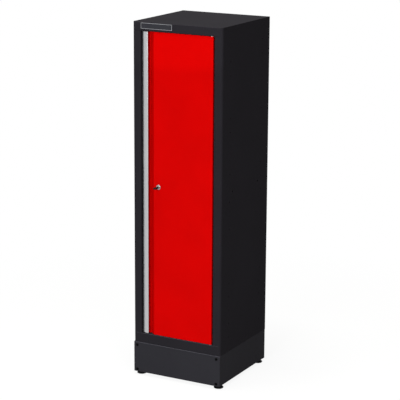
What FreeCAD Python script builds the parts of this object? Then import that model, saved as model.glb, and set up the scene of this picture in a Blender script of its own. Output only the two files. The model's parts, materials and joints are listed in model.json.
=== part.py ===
import FreeCAD
import Part
import Sketcher
import math
import os
import re
from FreeCAD import Rotation, Vector

# Side locker for a workshop wall: a folded steel cabinet with one inset door, standing on a screwed plinth.
# Row frame: X to the right, Y to the back, Z up. The origin lies on the floor, midway between the sides
# and midway between the front frame and the back edge. Lengths are millimetres.

SIZES = [
    # the cabinet
    ("width", 500, "across the two side panels"),
    ("depth", 509, "from the front frame to the back edge"),
    ("cabinet_height", 1652, "from the plinth to the top"),
    ("plinth_height", 160, "of the plinth"),
    ("foot_drop", 18, "from the floor to the plinth"),
    ("sheet", 1.2, "thickness of the folded steel"),
    ("bend", 0.8, "inside radius of an ordinary fold"),
    ("fold", 12, "outside radius of the two front corners"),
    ("top_fold", 4, "outside radius along the top's front edge"),
    ("stile", 43.5, "width of each side of the front frame"),
    ("top_rail", 43.5, "height of the front frame over the door"),
    ("bottom_rail", 51.5, "height of the front frame under the door"),
    ("stile_return", 31, "depth of the fold beside the door"),
    ("stop_lip", 12, "width of the lip that the door shuts on"),
    ("head_return", 34, "depth of the fold over the door"),
    ("floor_return", 28, "depth of the folds under the floor"),
    ("rear_lip", 20, "width of the folds at the back"),
    ("fit_gap", 0.3, "clearance beside a piece that slips in between two others"),
    # holes in the cabinet
    ("hole_dia", 6, "of a shelf hole"),
    ("hole_pitch", 70, "between shelf holes"),
    ("hole_margin", 60, "at least, from the lowest shelf hole to the cabinet's bottom"),
    ("hole_drop", 102.5, "from the top down to the first shelf hole"),
    ("column_front", 88, "from the front frame to the first column"),
    ("column_spacing", 340, "between the two columns"),
    ("join_dia", 9, "of a hole that joins two cabinets"),
    ("join_front", 121, "from the front frame to the first joining hole"),
    ("join_spacing", 274, "between the joining holes"),
    ("wall_dia", 9, "of a hole for a wall screw"),
    ("wall_spacing", 350, "between the wall holes"),
    ("wall_drop", 60, "from the top down to the wall holes"),
    # shelves
    ("shelf_inset", 45, "from the front frame to a shelf"),
    ("shelf_gap", 1.5, "beside a shelf and behind it"),
    ("shelf_flange", 28, "height of a shelf's front and back folds"),
    ("shelf_lip", 12, "depth of the folds under them"),
    ("shelf_count", 4, "shelves"),
    ("shelf_step", 4, "shelf holes from one shelf to the next"),
    ("peg_dia", 7, "of the peg that a shelf rests on"),
    ("peg_reach", 13, "of that peg into the cabinet"),
    ("collar_dia", 11, "of the peg's collar"),
    ("collar_thick", 1.5, "of the peg's collar"),
    ("slip", 0.1, "radial clearance of a fixed pin in its hole"),
    # rivets, screws, bolts and nuts
    ("rivet_dia", 4, "of a blind rivet"),
    ("rivet_head_dia", 8, "of its head"),
    ("rivet_head_thick", 1.2, "of its head"),
    ("rivet_tail_dia", 5.6, "of its set end"),
    ("rivet_inset", 10, "from a panel's edge to a rivet"),
    ("rivet_end", 70, "from the end of a row to its first rivet"),
    ("rivet_count", 5, "rivets in a row"),
    ("screw_dia", 6, "of a plinth screw"),
    ("screw_head_dia", 15, "of its head"),
    ("screw_head_thick", 3.4, "of its head"),
    ("screw_length", 12, "of its shank"),
    ("screw_key", 5, "across the flats of its socket"),
    ("screw_inset", 20, "from the plinth's side to a screw"),
    ("screw_low", 12, "from the plinth's bottom to the lower screws"),
    ("screw_high", 16, "from the plinth's top to the upper screws"),
    ("bolt_dia", 8, "of a bolt between the plinth and the cabinet"),
    ("bolt_flats", 13, "across its head and its nut"),
    ("bolt_head", 5.3, "thickness of its head"),
    ("bolt_nut", 6.5, "thickness of its nut"),
    ("bolt_end", 3, "of its shank past the nut"),
    ("bolt_x", 150, "from the middle to a bolt"),
    ("bolt_inset", 13, "from the front or the back to a bolt"),
    # plinth and feet
    ("plinth_proud", 3, "of the plinth in front of the cabinet"),
    ("plinth_set_in", 2, "of the plinth's back from the cabinet's back"),
    ("plinth_fold", 3, "outside radius of the plinth's corners"),
    ("plinth_lip", 25, "depth of the plinth's folds, front and back"),
    ("side_lip", 12, "depth of the plinth's folds at the sides"),
    ("post_leg", 55, "of a corner post"),
    ("post_sheet", 2.5, "thickness of a corner post"),
    ("post_plate", 4, "thickness of the plate that takes a foot"),
    ("foot_x_inset", 25, "from the side to a foot's axis"),
    ("foot_y_inset", 34.5, "from the front or back to a foot's axis"),
    ("pad_dia", 49, "of a foot's pad"),
    ("pad_edge", 5, "height of the pad's rim"),
    ("pad_height", 9, "of the pad"),
    ("stud_dia", 10, "of a foot's stud"),
    ("stud_length", 62, "of a foot's stud"),
    ("stud_seat", 4, "from the floor to the stud"),
    ("foot_nut_flats", 17, "across a foot's nut"),
    ("foot_nut_thick", 8, "of a foot's nut"),
    # badge plate
    ("badge_width", 174, "of the blank plate"),
    ("badge_height", 28.5, "of the blank plate"),
    ("badge_thick", 0.8, "of the blank plate"),
    ("badge_rim", 1.6, "width of its bright rim"),
    ("badge_rise", 0.4, "of the rim above the plate"),
    ("badge_inset", 47, "from the side to the plate"),
    ("badge_drop", 4, "from the top to the plate"),
    # door
    ("gap_end", 2, "over the door and under it"),
    ("gap_grip", 4.5, "beside the door at the grip"),
    ("gap_hinge", 9, "beside the door at the pivots"),
    ("door_inset", 3, "from the front frame back to the door's face"),
    ("door_depth", 25, "from the door's face to its back"),
    ("door_lip", 15, "width of the fold behind the hinged edge"),
    ("grip_width", 35, "of the grip profile"),
    ("finger_gap", 34, "between the grip and the door's face"),
    ("slope_run", 30, "width of the slanted wall behind that gap"),
    ("recess_flange", 10, "depth of the folds at the ends of the recess"),
    ("stiffener_x", 45, "from the middle to the door's stiffener"),
    ("stiffener_width", 40, "of its raised part"),
    ("stiffener_foot", 12, "width of its feet"),
    ("stiffener_height", 20, "of its raised part"),
    ("stiffener_end", 30, "from the door's end to the stiffener"),
    # grip profile
    ("grip_wall", 1.8, "thickness of the profile"),
    ("grip_nose", 3, "radius of its front edge"),
    ("grip_edge", 7.5, "that its far edge lies behind the crest"),
    ("grip_lip", 3, "of the wall behind the front edge"),
    ("grip_foot", 16, "width of the foot on the door"),
    ("grip_rivet_x", 11, "from the door's edge to the rivets"),
    ("grip_end", 1.5, "thickness of the end caps"),
    # pivots
    ("pivot_inset", 9, "from the door's edge to the pivot"),
    ("pivot_depth", 12, "from the front frame to the pivot"),
    ("pin_dia", 8, "of a pivot pin"),
    ("pin_head_dia", 14, "of its head"),
    ("pin_head", 2, "thickness of its head"),
    ("pin_reach", 15, "of the pin into the door"),
    ("pin_fit", 0.05, "radial clearance of the pin in its bush"),
    ("bush_dia", 12, "of a pivot bush"),
    ("bush_flange_dia", 16, "of its flange"),
    ("bush_flange", 0.9, "thickness of its flange"),
    ("bush_length", 14, "of the bush inside the door"),
    ("thrust_gap", 0.1, "between the bush and the washer"),
    ("pivot_plate", 3, "thickness of the plate in the door"),
    ("pivot_plate_width", 45, "of the plate in the door"),
    # lock and rods
    ("lock_inset", 26, "from the door's fold to the lock"),
    ("rosette_dia", 25, "of the lock's round face"),
    ("rosette_proud", 3, "of that face in front of the door"),
    ("rosette_chamfer", 1.2, "of its edge"),
    ("barrel_dia", 18, "of the lock's body"),
    ("barrel_length", 12, "of the lock's body behind the door's face"),
    ("barrel_nut_flats", 24, "across the lock's nut"),
    ("barrel_nut", 4, "thickness of the lock's nut"),
    ("plug_dia", 11, "of the turning plug"),
    ("plug_fit", 0.05, "radial clearance of the plug"),
    ("plug_proud", 0.5, "of the plug in front of the lock's face"),
    ("tail_dia", 8, "of the plug's tail"),
    ("keyway_width", 8.4, "of the keyway"),
    ("keyway_height", 2.4, "of the keyway"),
    ("key_slack", 0.2, "around the key in the keyway"),
    ("key_shank", 2.5, "of the blade between the lock and the bow"),
    ("bow_width", 19, "of the key's bow"),
    ("bow_length", 26, "of the key's bow"),
    ("bow_thick", 6.5, "of the key's bow"),
    ("bow_corner", 8, "radius of the bow's corners"),
    ("bow_hole", 6.5, "of the hole for a key ring"),
    ("bow_neck", 9, "length of the bow's neck"),
    ("bow_neck_width", 11, "width of the bow's neck"),
    ("case_width", 48, "of the gear case"),
    ("case_height", 92, "of the gear case"),
    ("case_depth", 20, "of the gear case"),
    ("case_wall", 1.5, "thickness of the gear case"),
    ("case_boss", 7, "diameter of its screw bosses"),
    ("case_boss_inset", 4.5, "from the case's outside to a boss's axis"),
    ("case_screw_dia", 3.4, "of a case screw"),
    ("case_screw_head_dia", 6.4, "of its head"),
    ("case_screw_head", 1.8, "thickness of its head"),
    ("case_screw_length", 8, "of its shank"),
    ("rod_dia", 8, "of a locking rod"),
    ("rod_depth", 14.5, "from the door's face to the rods"),
    ("rod_set_in", 0.5, "of a rod's end inside the door's end"),
    ("rod_slack", 0.1, "radial clearance of a rod in its guide"),
    ("rack_thick", 4.6, "of the racks"),
    ("rack_back", 4, "of a rack behind its teeth"),
    ("rack_lead", 7, "of a rack past the pinion's middle"),
    ("rack_neck", 18, "from the pinion's middle to the rod's crank"),
    ("crank_height", 8, "of that crank"),
    ("module", 1.6, "of the rack and the pinion"),
    ("pinion_teeth", 10, "on the pinion"),
    ("pinion_thick", 5, "of the pinion"),
    ("backlash", 0.24, "between the teeth"),
    ("guide_dia", 14, "of a rod's guide"),
    ("guide_collar_dia", 18, "of its collar"),
    ("guide_length", 12, "of a rod's guide"),
    ("keeper_dia", 16, "of a rod's keeper"),
    ("keeper_flange_dia", 20, "of its flange"),
    ("keeper_flange", 1, "thickness of its flange"),
    ("keeper_length", 16, "of the keeper behind its flange"),
    ("keeper_bore", 10, "of its hole"),
    # bumpers
    ("bumper_dia", 8, "of a door bumper"),
    ("bumper_gap", 0.3, "between a bumper and the shut door"),
    ("bumper_end", 110, "from the door's end to its first bumper"),
    ("bumper_count", 4, "bumpers"),
]

# Places that follow from the sizes. Distances along Y are measured from the front frame.
PLACES = {
    "front": "-depth/2",
    "inner": "width/2 - sheet",
    "corner": "width/2 - fold",
    "back_face": "depth - 2*sheet",
    "plinth_top": "foot_drop + plinth_height",
    "top": "plinth_top + cabinet_height",
    "sill": "plinth_top + bottom_rail",
    "head": "top - top_rail",
    "opening": "width/2 - stile",
    "outside_bend": "bend + sheet",
    "hole_count": "floor((cabinet_height - hole_drop - hole_margin)/hole_pitch) + 1",
    "last_hole": "cabinet_height - hole_drop - (hole_count - 1)*hole_pitch",
    "column_back": "column_front + column_spacing",
    "rivet_hole": "rivet_dia + 2*slip",
    "screw_hole": "screw_dia + 2*slip",
    "bolt_hole": "bolt_dia + 10*slip",
    "bolt_back": "back_face - bolt_inset",
    "plinth_back_face": "depth - plinth_set_in",
    "foot_x": "width/2 - foot_x_inset",
    "foot_back": "depth - foot_y_inset",
    "door_left": "gap_grip - opening",
    "door_right": "opening - gap_hinge",
    "door_low": "sill + gap_end",
    "door_high": "head - gap_end",
    "door_height": "door_high - door_low",
    "door_back": "door_inset + door_depth",
    "slope_front": "door_left + grip_width + finger_gap",
    "slope_back": "slope_front - slope_run",
    "pivot_x": "door_right - pivot_inset",
    "lock_x": "slope_front + lock_inset",
    "lock_z": "(door_low + door_high)/2",
    "rod_y": "door_inset + rod_depth",
    "rod_room": "rod_depth - sheet",
    "crest": "grip_width - grip_nose",
    "grip_bulge": "(crest^2 + grip_edge^2)/(2*grip_edge)",
    "stud_hole": "stud_dia + 2*pin_fit",
    "pitch_radius": "module*pinion_teeth/2",
    "rack_tip": "pitch_radius - rack_addendum",
    "rack_root": "pitch_radius + rack_dedendum",
    "rack_addendum": "0.8*module",
    "rack_dedendum": "1.1*module",
    "tooth_pitch": "module*pi",
    "rod_travel": "pitch_radius*pi/2",
    "blade_back": "barrel_length - key_slack",
    "key_front": "rosette_proud + plug_proud + key_shank",
    "bow_front": "key_front + bow_neck",
}
PRESSURE_ANGLE = 25
OVERCUT = 1.0

ALIASES = {alias for alias, number, meaning in SIZES}
WORD = re.compile(r"[a-z_][a-z_0-9]*")
PLANES = {"XY": ("XY_Plane", 1), "YZ": ("YZ_Plane", 1), "XZ": ("XZ_Plane", -1)}
UP = Rotation()
DOWN = Rotation(Vector(1, 0, 0), 180)
TO_FRONT = Rotation(Vector(1, 0, 0), 90)
TO_BACK = Rotation(Vector(1, 0, 0), -90)
TO_RIGHT = Rotation(Vector(0, 1, 0), 90)
TO_LEFT = Rotation(Vector(0, 1, 0), -90)
HALF_TURN = Rotation(Vector(0, 1, 0), 180)

doc = FreeCAD.newDocument("SideLocker")
sizes = doc.addObject("Spreadsheet::Sheet", "sizes")
for line, (alias, number, meaning) in enumerate(SIZES, start=1):
    sizes.set(f"A{line}", alias)
    sizes.set(f"B{line}", str(number))
    sizes.setAlias(f"B{line}", alias)
    sizes.set(f"C{line}", meaning)
doc.recompute()
pieces = []


def bind(text):
    """Turn words into cells of the sheet, or into the expression of the place that they name."""

    def replace(match):
        word = match.group()
        if word in ALIASES:
            return "sizes." + word
        return "(" + bind(PLACES[word]) + ")" if word in PLACES else word

    return WORD.sub(replace, str(text))


def value(text):
    return float(sizes.evalExpression(bind(text)))


def mirrored(side, text):
    return f"{side}*({text})"


# ---------------------------------------------------------------------------------------------------------
# Outlines: a loop is a list of corners (x, y) or (x, y, radius, turn); with a radius, the edge that starts
# at the corner is an arc, turning left where turn is 1 and right where it is -1.


def rectangle(x_low, x_high, y_low, y_high):
    return [(x_low, y_low), (x_high, y_low), (x_high, y_high), (x_low, y_high)]


def disc(x, y, diameter):
    return {"x": x, "y": y, "diameter": diameter}


def shifted(text, factor, length):
    return f"{text} + {factor:.9f}*({length})" if abs(factor) > 1e-9 else str(text)


def folded(path, side, thick="sheet"):
    """The section of a folded strip. path runs along one face, with the metal to its left where side is 1
    and to its right where side is -1. A corner may give its outside radius after x and y."""
    numbers = [(value(corner[0]), value(corner[1])) for corner in path]
    ways = []
    for (x0, y0), (x1, y1) in zip(numbers, numbers[1:]):
        length = math.hypot(x1 - x0, y1 - y0)
        ways.append(((x1 - x0) / length, (y1 - y0) / length))
    near, far = [], []
    for index, corner in enumerate(path):
        x, y = corner[0], corner[1]
        if index in (0, len(path) - 1):
            way = ways[0] if index == 0 else ways[-1]
            near.append((x, y))
            far.append((shifted(x, -side * way[1], thick), shifted(y, side * way[0], thick)))
            continue
        before, after = ways[index - 1], ways[index]
        cross = before[0] * after[1] - before[1] * after[0]
        dot = before[0] * after[0] + before[1] * after[1]
        half = math.tan(abs(math.atan2(cross, dot)) / 2)
        mitre_x = -side * (before[1] + after[1]) / (1 + dot)
        mitre_y = side * (before[0] + after[0]) / (1 + dot)
        outside = corner[2] if len(corner) > 2 else "outside_bend"
        inside = f"({outside} - {thick})"
        near_radius, far_radius = (outside, inside) if cross * side > 0 else (inside, outside)
        turn = 1 if cross > 0 else -1
        far_x, far_y = shifted(x, mitre_x, thick), shifted(y, mitre_y, thick)
        for line, at_x, at_y, radius in ((near, x, y, near_radius), (far, far_x, far_y, far_radius)):
            first = (shifted(at_x, -before[0] * half, radius), shifted(at_y, -before[1] * half, radius))
            last = (shifted(at_x, after[0] * half, radius), shifted(at_y, after[1] * half, radius))
            if line is near:
                line.extend([(*first, radius, turn), last])
            else:
                line.extend([first, (*last, radius, -turn)])
    return near + far[::-1]


def draw(sketch, loops):
    """Draw the loops in the sketch and bind every corner, radius and diameter to the sheet."""
    count = 0

    def fix(kind, text, geometry, *position):
        nonlocal count
        index = sketch.addConstraint(Sketcher.Constraint(kind, geometry, *position, value(text)))
        sketch.renameConstraint(index, f"size_{count}")
        sketch.setExpression(f"Constraints.size_{count}", bind(text))
        count += 1

    for loop in loops:
        if isinstance(loop, dict):
            centre = Vector(value(loop["x"]), value(loop["y"]), 0)
            circle = sketch.addGeometry(Part.Circle(centre, Vector(0, 0, 1), value(loop["diameter"]) / 2))
            fix("DistanceX", loop["x"], circle, 3)
            fix("DistanceY", loop["y"], circle, 3)
            fix("Diameter", loop["diameter"], circle)
            continue
        corners = [Vector(value(corner[0]), value(corner[1]), 0) for corner in loop]
        edges = []
        for index, corner in enumerate(loop):
            start, end = corners[index], corners[(index + 1) % len(loop)]
            if len(corner) == 2:
                edges.append((sketch.addGeometry(Part.LineSegment(start, end)), 1, 2))
                continue
            radius, turn = value(corner[2]), corner[3]
            chord = end - start
            rise = math.sqrt(max(radius**2 - (chord.Length / 2) ** 2, 0))
            left = Vector(-chord.y, chord.x, 0) / chord.Length
            centre = (start + end) / 2 + left * rise * turn
            first, last = (start, end) if turn > 0 else (end, start)
            angles = [math.atan2(point.y - centre.y, point.x - centre.x) for point in (first, last)]
            circle = Part.Circle(centre, Vector(0, 0, 1), radius)
            arc = sketch.addGeometry(Part.ArcOfCircle(circle, *angles))
            edges.append((arc, 1, 2) if turn > 0 else (arc, 2, 1))
        for index, corner in enumerate(loop):
            geometry, start, end = edges[index]
            following = edges[(index + 1) % len(loop)]
            sketch.addConstraint(Sketcher.Constraint("Coincident", geometry, end, following[0], following[1]))
            fix("DistanceX", corner[0], geometry, start)
            fix("DistanceY", corner[1], geometry, start)
            if len(corner) > 2:
                fix("Radius", corner[2], geometry)


# ---------------------------------------------------------------------------------------------------------
# Bodies and features. A body's own frame is parallel to the row frame unless it is turned.


def new_body(label, x="0", y="0", z="0", turn=UP, keep=True):
    body = doc.addObject("PartDesign::Body", label)
    body.Label = label
    body.Placement.Rotation = turn
    body.setExpression(".Placement.Base.x", bind(x))
    body.setExpression(".Placement.Base.y", bind(f"front + {y}"))
    body.setExpression(".Placement.Base.z", bind(z))
    if keep:
        pieces.append(body)
    return body


def origin_of(body, role):
    return next(feature for feature in body.Origin.OriginFeatures if feature.Role == role)


def feature(body, kind, name, plane, loops, low, high):
    """A pad or a pocket of the loops, from low to high along the plane's own row axis."""
    role, sign = PLANES[plane]
    sketch = body.newObject("Sketcher::SketchObject", name + "_sketch")
    sketch.AttachmentSupport = [(origin_of(body, role), "")]
    sketch.MapMode = "FlatFace"
    sketch.setExpression("AttachmentOffset.Base.z", bind(f"{sign}*({low} + {high})/2"))
    draw(sketch, loops)
    made = body.newObject("PartDesign::" + kind, name)
    made.Profile = sketch
    made.Midplane = True
    made.setExpression("Length", bind(f"({high}) - ({low})"))
    body.Tip = made
    return made


def pad(body, name, plane, loops, low, high):
    return feature(body, "Pad", name, plane, loops, low, high)


def cut(body, name, plane, loops, low, high):
    doc.recompute()
    before = body.Shape.Volume
    made = feature(body, "Pocket", name, plane, loops, low, high)
    doc.recompute()
    if not body.Shape.Volume < before:
        raise RuntimeError(f"{name} cuts nothing from {body.Label}")
    return made


def repeat(body, original, axis, spacing, count):
    pattern = body.newObject("PartDesign::LinearPattern", original.Name + "_row")
    pattern.Originals = [original]
    pattern.Direction = (origin_of(body, axis), [""])
    pattern.setExpression("Length", bind(f"({spacing})*({count} - 1)"))
    pattern.setExpression("Occurrences", bind(count))
    body.Tip = pattern
    return pattern


def turned(label, outline, x="0", y="0", z="0", turn=UP, bore=None, keep=True):
    """A round piece on its own Z axis. outline lists (height, diameter) from its low end to its high end."""
    body = new_body(label, x, y, z, turn, keep)
    radius = f"({bore})/2" if bore else "0"
    loop = [(radius, outline[0][0])]
    loop += [(f"({diameter})/2", height) for height, diameter in outline]
    loop.append((radius, outline[-1][0]))
    sketch = body.newObject("Sketcher::SketchObject", label + "_sketch")
    sketch.AttachmentSupport = [(origin_of(body, "XZ_Plane"), "")]
    sketch.MapMode = "FlatFace"
    draw(sketch, [loop])
    made = body.newObject("PartDesign::Revolution", label + "_turning")
    made.Profile = sketch
    made.ReferenceAxis = (sketch, ["V_Axis"])
    made.Angle = 360
    body.Tip = made
    return body


def hexagon(label, flats, low, high, bore=None, shank=None):
    """A nut, or a bolt whose shank is (low, diameter), built from primitives on its own Z axis."""
    prism = doc.addObject("Part::Prism", label + "_hexagon")
    prism.Polygon = 6
    prism.setExpression("Circumradius", bind(f"({flats})/sqrt(3)"))
    prism.setExpression("Height", bind(f"({high}) - ({low})"))
    prism.setExpression(".Placement.Base.z", bind(low))
    tool = doc.addObject("Part::Cylinder", label + "_round")
    if bore:
        tool.setExpression("Radius", bind(f"({bore})/2"))
        tool.setExpression("Height", bind(f"({high}) - ({low})"))
        tool.setExpression(".Placement.Base.z", bind(low))
        whole = doc.addObject("Part::Cut", label)
        whole.Base, whole.Tool = prism, tool
        return whole
    tool.setExpression("Radius", bind(f"({shank[1]})/2"))
    tool.setExpression("Height", bind(f"({low}) - ({shank[0]})"))
    tool.setExpression(".Placement.Base.z", bind(shank[0]))
    whole = doc.addObject("Part::Fuse", label)
    whole.Base, whole.Tool = prism, tool
    return whole


def group(label, masters, places, turn=UP):
    """Copies of the masters at each (x, y, z) or (x, y, z, turn), as the separate solids of one piece."""
    doc.recompute()
    copies = []
    for place in places:
        x, y, z = (value(text) for text in place[:3])
        spot = FreeCAD.Placement(Vector(x, value("front") + y, z), place[3] if len(place) > 3 else turn)
        copies += [master.Shape.transformed(spot.toMatrix(), True) for master in masters]
    whole = doc.addObject("Part::Feature", label)
    whole.Label = label
    whole.Shape = Part.Compound(copies)
    pieces.append(whole)
    return whole


def spread(low, high, count):
    """Places for count things, evenly from low to high."""
    steps = int(value(count)) - 1
    return [f"{low} + ({high} - ({low}))*{index}/{steps}" for index in range(steps + 1)]


# ---------------------------------------------------------------------------------------------------------
# Cabinet shell


def side_panel(side, name):
    """Side wall with the front stile and its return folded on one edge and the rear lip on the other.
    The left return ends in the lip that the door shuts on."""
    body = new_body("side_panel_" + name, z="plinth_top")
    path = [
        (mirrored(side, "opening"), "stile_return"),
        (mirrored(side, "opening"), "0"),
        (mirrored(side, "width/2"), "0", "fold"),
        (mirrored(side, "width/2"), "depth"),
        (mirrored(side, "width/2 - rear_lip"), "depth"),
    ]
    if side < 0:
        path.insert(0, (mirrored(side, "opening - stop_lip"), "stile_return"))
    pad(body, name + "_wall", "XY", [folded(path, side)], "0", "cabinet_height")

    edge = (mirrored(side, f"opening - stop_lip - {OVERCUT}"), mirrored(side, "corner"))
    low_notch = rectangle(*edge, f"-{OVERCUT}", "bottom_rail")
    high_notch = rectangle(*edge, "cabinet_height - top_rail", f"cabinet_height + {OVERCUT}")
    cut(body, name + "_rail_notches", "XZ", [low_notch, high_notch], f"-{OVERCUT}", "stile_return + 2*sheet")

    wall = (mirrored(side, "width/2 - 2*sheet"), mirrored(side, f"width/2 + {OVERCUT}"))
    wall = wall if side > 0 else wall[::-1]
    columns = [disc(y, "last_hole", "hole_dia") for y in ("column_front", "column_back")]
    holes = cut(body, name + "_shelf_holes", "YZ", columns, *wall)
    repeat(body, holes, "Z_Axis", "hole_pitch", "hole_count")
    joints = [disc(y, "cabinet_height/2", "join_dia") for y in ("join_front", "join_front + join_spacing")]
    cut(body, name + "_joining_holes", "YZ", joints, *wall)
    rivet = disc(mirrored(side, "width/2 - rivet_inset"), "rivet_end", "rivet_hole")
    rivets = cut(body, name + "_rivet_holes", "XZ", [rivet], "depth - 2*sheet", f"depth + {OVERCUT}")
    repeat(body, rivets, "Z_Axis", "(cabinet_height - 2*rivet_end)/(rivet_count - 1)", "rivet_count")
    return body


def cap_plate(front_edge):
    """Plate that closes the shell over or under both stiles, nested inside the rounded front corners."""
    return [
        ("-corner", "sheet"),
        ("-corner", front_edge),
        ("corner", front_edge),
        ("corner", "sheet", "fold - sheet", 1),
        ("inner", "fold"),
        ("inner", "back_face"),
        ("-inner", "back_face"),
        ("-inner", "fold", "fold - sheet", 1),
    ]


def top_panel():
    body = new_body("top_panel", z="head")
    path = [
        ("head_return", "0"),
        ("0", "0"),
        ("0", "top_rail", "top_fold"),
        ("back_face", "top_rail"),
        ("back_face", "top_rail - rear_lip"),
    ]
    pad(body, "top_rail_fold", "YZ", [folded(path, -1)], "-corner", "corner")
    pad(body, "top_plate", "XY", [cap_plate("top_fold")], "top_rail - sheet", "top_rail")
    pin = disc("pivot_x", "pivot_depth", "pin_dia + 2*slip")
    keeper = disc("lock_x", "rod_y", "keeper_dia + 2*slip")
    cut(body, "head_holes", "XY", [pin, keeper], f"-{OVERCUT}", "2*sheet")


def bottom_panel():
    body = new_body("bottom_panel", z="plinth_top")
    path = [
        ("floor_return", "0"),
        ("0", "0"),
        ("0", "bottom_rail"),
        ("back_face", "bottom_rail"),
        ("back_face", "0"),
        ("back_face - floor_return", "0"),
    ]
    pad(body, "bottom_rail_fold", "YZ", [folded(path, -1)], "-corner", "corner")
    floor = ("bottom_rail - sheet", "bottom_rail")
    pad(body, "floor_plate", "XY", [cap_plate("outside_bend")], *floor)
    pin = disc("pivot_x", "pivot_depth", "pin_dia + 2*slip")
    keeper = disc("lock_x", "rod_y", "keeper_dia + 2*slip")
    cut(body, "sill_holes", "XY", [pin, keeper], "bottom_rail - 2*sheet", f"bottom_rail + {OVERCUT}")
    bolts = [disc(x, y, "bolt_hole") for x in ("-bolt_x", "bolt_x") for y in ("bolt_inset", "bolt_back")]
    cut(body, "bolt_holes", "XY", bolts, f"-{OVERCUT}", "2*sheet")


def back_panel():
    body = new_body("back_panel", y="back_face", z="plinth_top")
    edge = "width/2 - outside_bend"
    sheet = rectangle(f"-({edge})", edge, "0", "cabinet_height")
    pad(body, "back_sheet", "XZ", [sheet], "0", "sheet")
    sides = ("rivet_inset - width/2", "width/2 - rivet_inset")
    rivets = cut(body, "back_rivet_holes", "XZ", [disc(x, "rivet_end", "rivet_hole") for x in sides],
                 f"-{OVERCUT}", "2*sheet")
    repeat(body, rivets, "Z_Axis", "(cabinet_height - 2*rivet_end)/(rivet_count - 1)", "rivet_count")
    wall = [disc(x, "cabinet_height - wall_drop", "wall_dia") for x in ("-wall_spacing/2", "wall_spacing/2")]
    cut(body, "wall_holes", "XZ", wall, f"-{OVERCUT}", "2*sheet")


def back_rivets():
    outline = [
        ("-2*sheet - rivet_head_thick", "rivet_tail_dia"),
        ("-2*sheet", "rivet_tail_dia"),
        ("-2*sheet", "rivet_dia"),
        ("0", "rivet_dia"),
        ("0", "rivet_head_dia"),
        ("rivet_head_thick/2", "rivet_head_dia"),
        ("rivet_head_thick", "rivet_head_dia/2"),
    ]
    master = turned("back_rivet", outline, y="-front", turn=UP, keep=False)
    rows = spread("plinth_top + rivet_end", "top - rivet_end", "rivet_count")
    sides = ("rivet_inset - width/2", "width/2 - rivet_inset")
    group("back_rivets", [master], [(x, "depth", z) for x in sides for z in rows], TO_BACK)


def shelf_row(index):
    """Height of the hole row that shelf number index rests in, counted from the top."""
    return f"top - hole_drop - {index + 1}*shelf_step*hole_pitch"


def shelf(index):
    height = shelf_row(index) + " + peg_dia/2 + sheet"
    body = new_body(f"shelf_{index + 1}", y="shelf_inset", z=height)
    reach = "back_face - shelf_gap - shelf_inset"
    path = [
        ("shelf_lip", "-shelf_flange"),
        ("0", "-shelf_flange"),
        ("0", "0"),
        (reach, "0"),
        (reach, "-shelf_flange"),
        (f"{reach} - shelf_lip", "-shelf_flange"),
    ]
    pad(body, f"shelf_{index + 1}_tray", "YZ", [folded(path, -1)], "shelf_gap - inner", "inner - shelf_gap")


def shelf_pegs():
    outline = [
        ("slip", "hole_dia - 2*slip"),
        ("sheet", "hole_dia - 2*slip"),
        ("sheet", "collar_dia"),
        ("sheet + collar_thick", "collar_dia"),
        ("sheet + collar_thick", "peg_dia"),
        ("sheet + peg_reach", "peg_dia"),
    ]
    master = turned("shelf_peg", outline, y="-front", keep=False)
    places = []
    for index in range(int(value("shelf_count"))):
        for y in ("column_front", "column_back"):
            places.append(("-width/2", y, shelf_row(index), TO_RIGHT))
            places.append(("width/2", y, shelf_row(index), TO_LEFT))
    group("shelf_pegs", [master], places)


# ---------------------------------------------------------------------------------------------------------
# Plinth and feet


def plinth_end(label, face, wrap, side):
    """Front or back of the plinth, wrapped round both corners, with a fold along the top and the bottom."""
    body = new_body(label, z="foot_drop")
    path = [
        ("width/2", wrap),
        ("width/2", face, "plinth_fold"),
        ("-width/2", face, "plinth_fold"),
        ("-width/2", wrap),
    ]
    pad(body, label + "_wrap", "XY", [folded(path, side)], "0", "plinth_height")
    inside = f"{face} - {side}*sheet"
    room = "plinth_fold - sheet"
    strip = [
        ("inner", wrap),
        ("inner", f"{inside} - {side}*({room})", room, side),
        (f"inner - ({room})", inside),
        (f"{room} - inner", inside, room, side),
        ("-inner", f"{inside} - {side}*({room})"),
        ("-inner", wrap),
    ]
    pad(body, label + "_low_lip", "XY", [strip], "0", "sheet")
    pad(body, label + "_high_lip", "XY", [strip], "plinth_height - sheet", "plinth_height")
    bolt_y = "bolt_inset" if side < 0 else "bolt_back"
    bolts = [disc(x, bolt_y, "bolt_hole") for x in ("-bolt_x", "bolt_x")]
    cut(body, label + "_bolt_holes", "XY", bolts, "plinth_height - 2*sheet", f"plinth_height + {OVERCUT}")
    return body


def plinth_front():
    body = plinth_end("plinth_front", "-plinth_proud", "plinth_lip", -1)
    screws = [
        disc(x, z, "screw_hole")
        for x in ("screw_inset - width/2", "width/2 - screw_inset")
        for z in ("screw_low", "plinth_height - screw_high")
    ]
    cut(body, "plinth_screw_holes", "XZ", screws, f"-plinth_proud - {OVERCUT}", "2*sheet - plinth_proud")


def plinth_side(side, name):
    body = new_body("plinth_side_" + name, y="plinth_lip + fit_gap", z="foot_drop")
    path = [
        (mirrored(side, "width/2 - side_lip"), "0"),
        (mirrored(side, "width/2"), "0"),
        (mirrored(side, "width/2"), "plinth_height"),
        (mirrored(side, "width/2 - side_lip"), "plinth_height"),
    ]
    pad(body, name + "_plinth_wall", "XZ", [folded(path, side)], "0", "depth - 2*(plinth_lip + fit_gap)")


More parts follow.
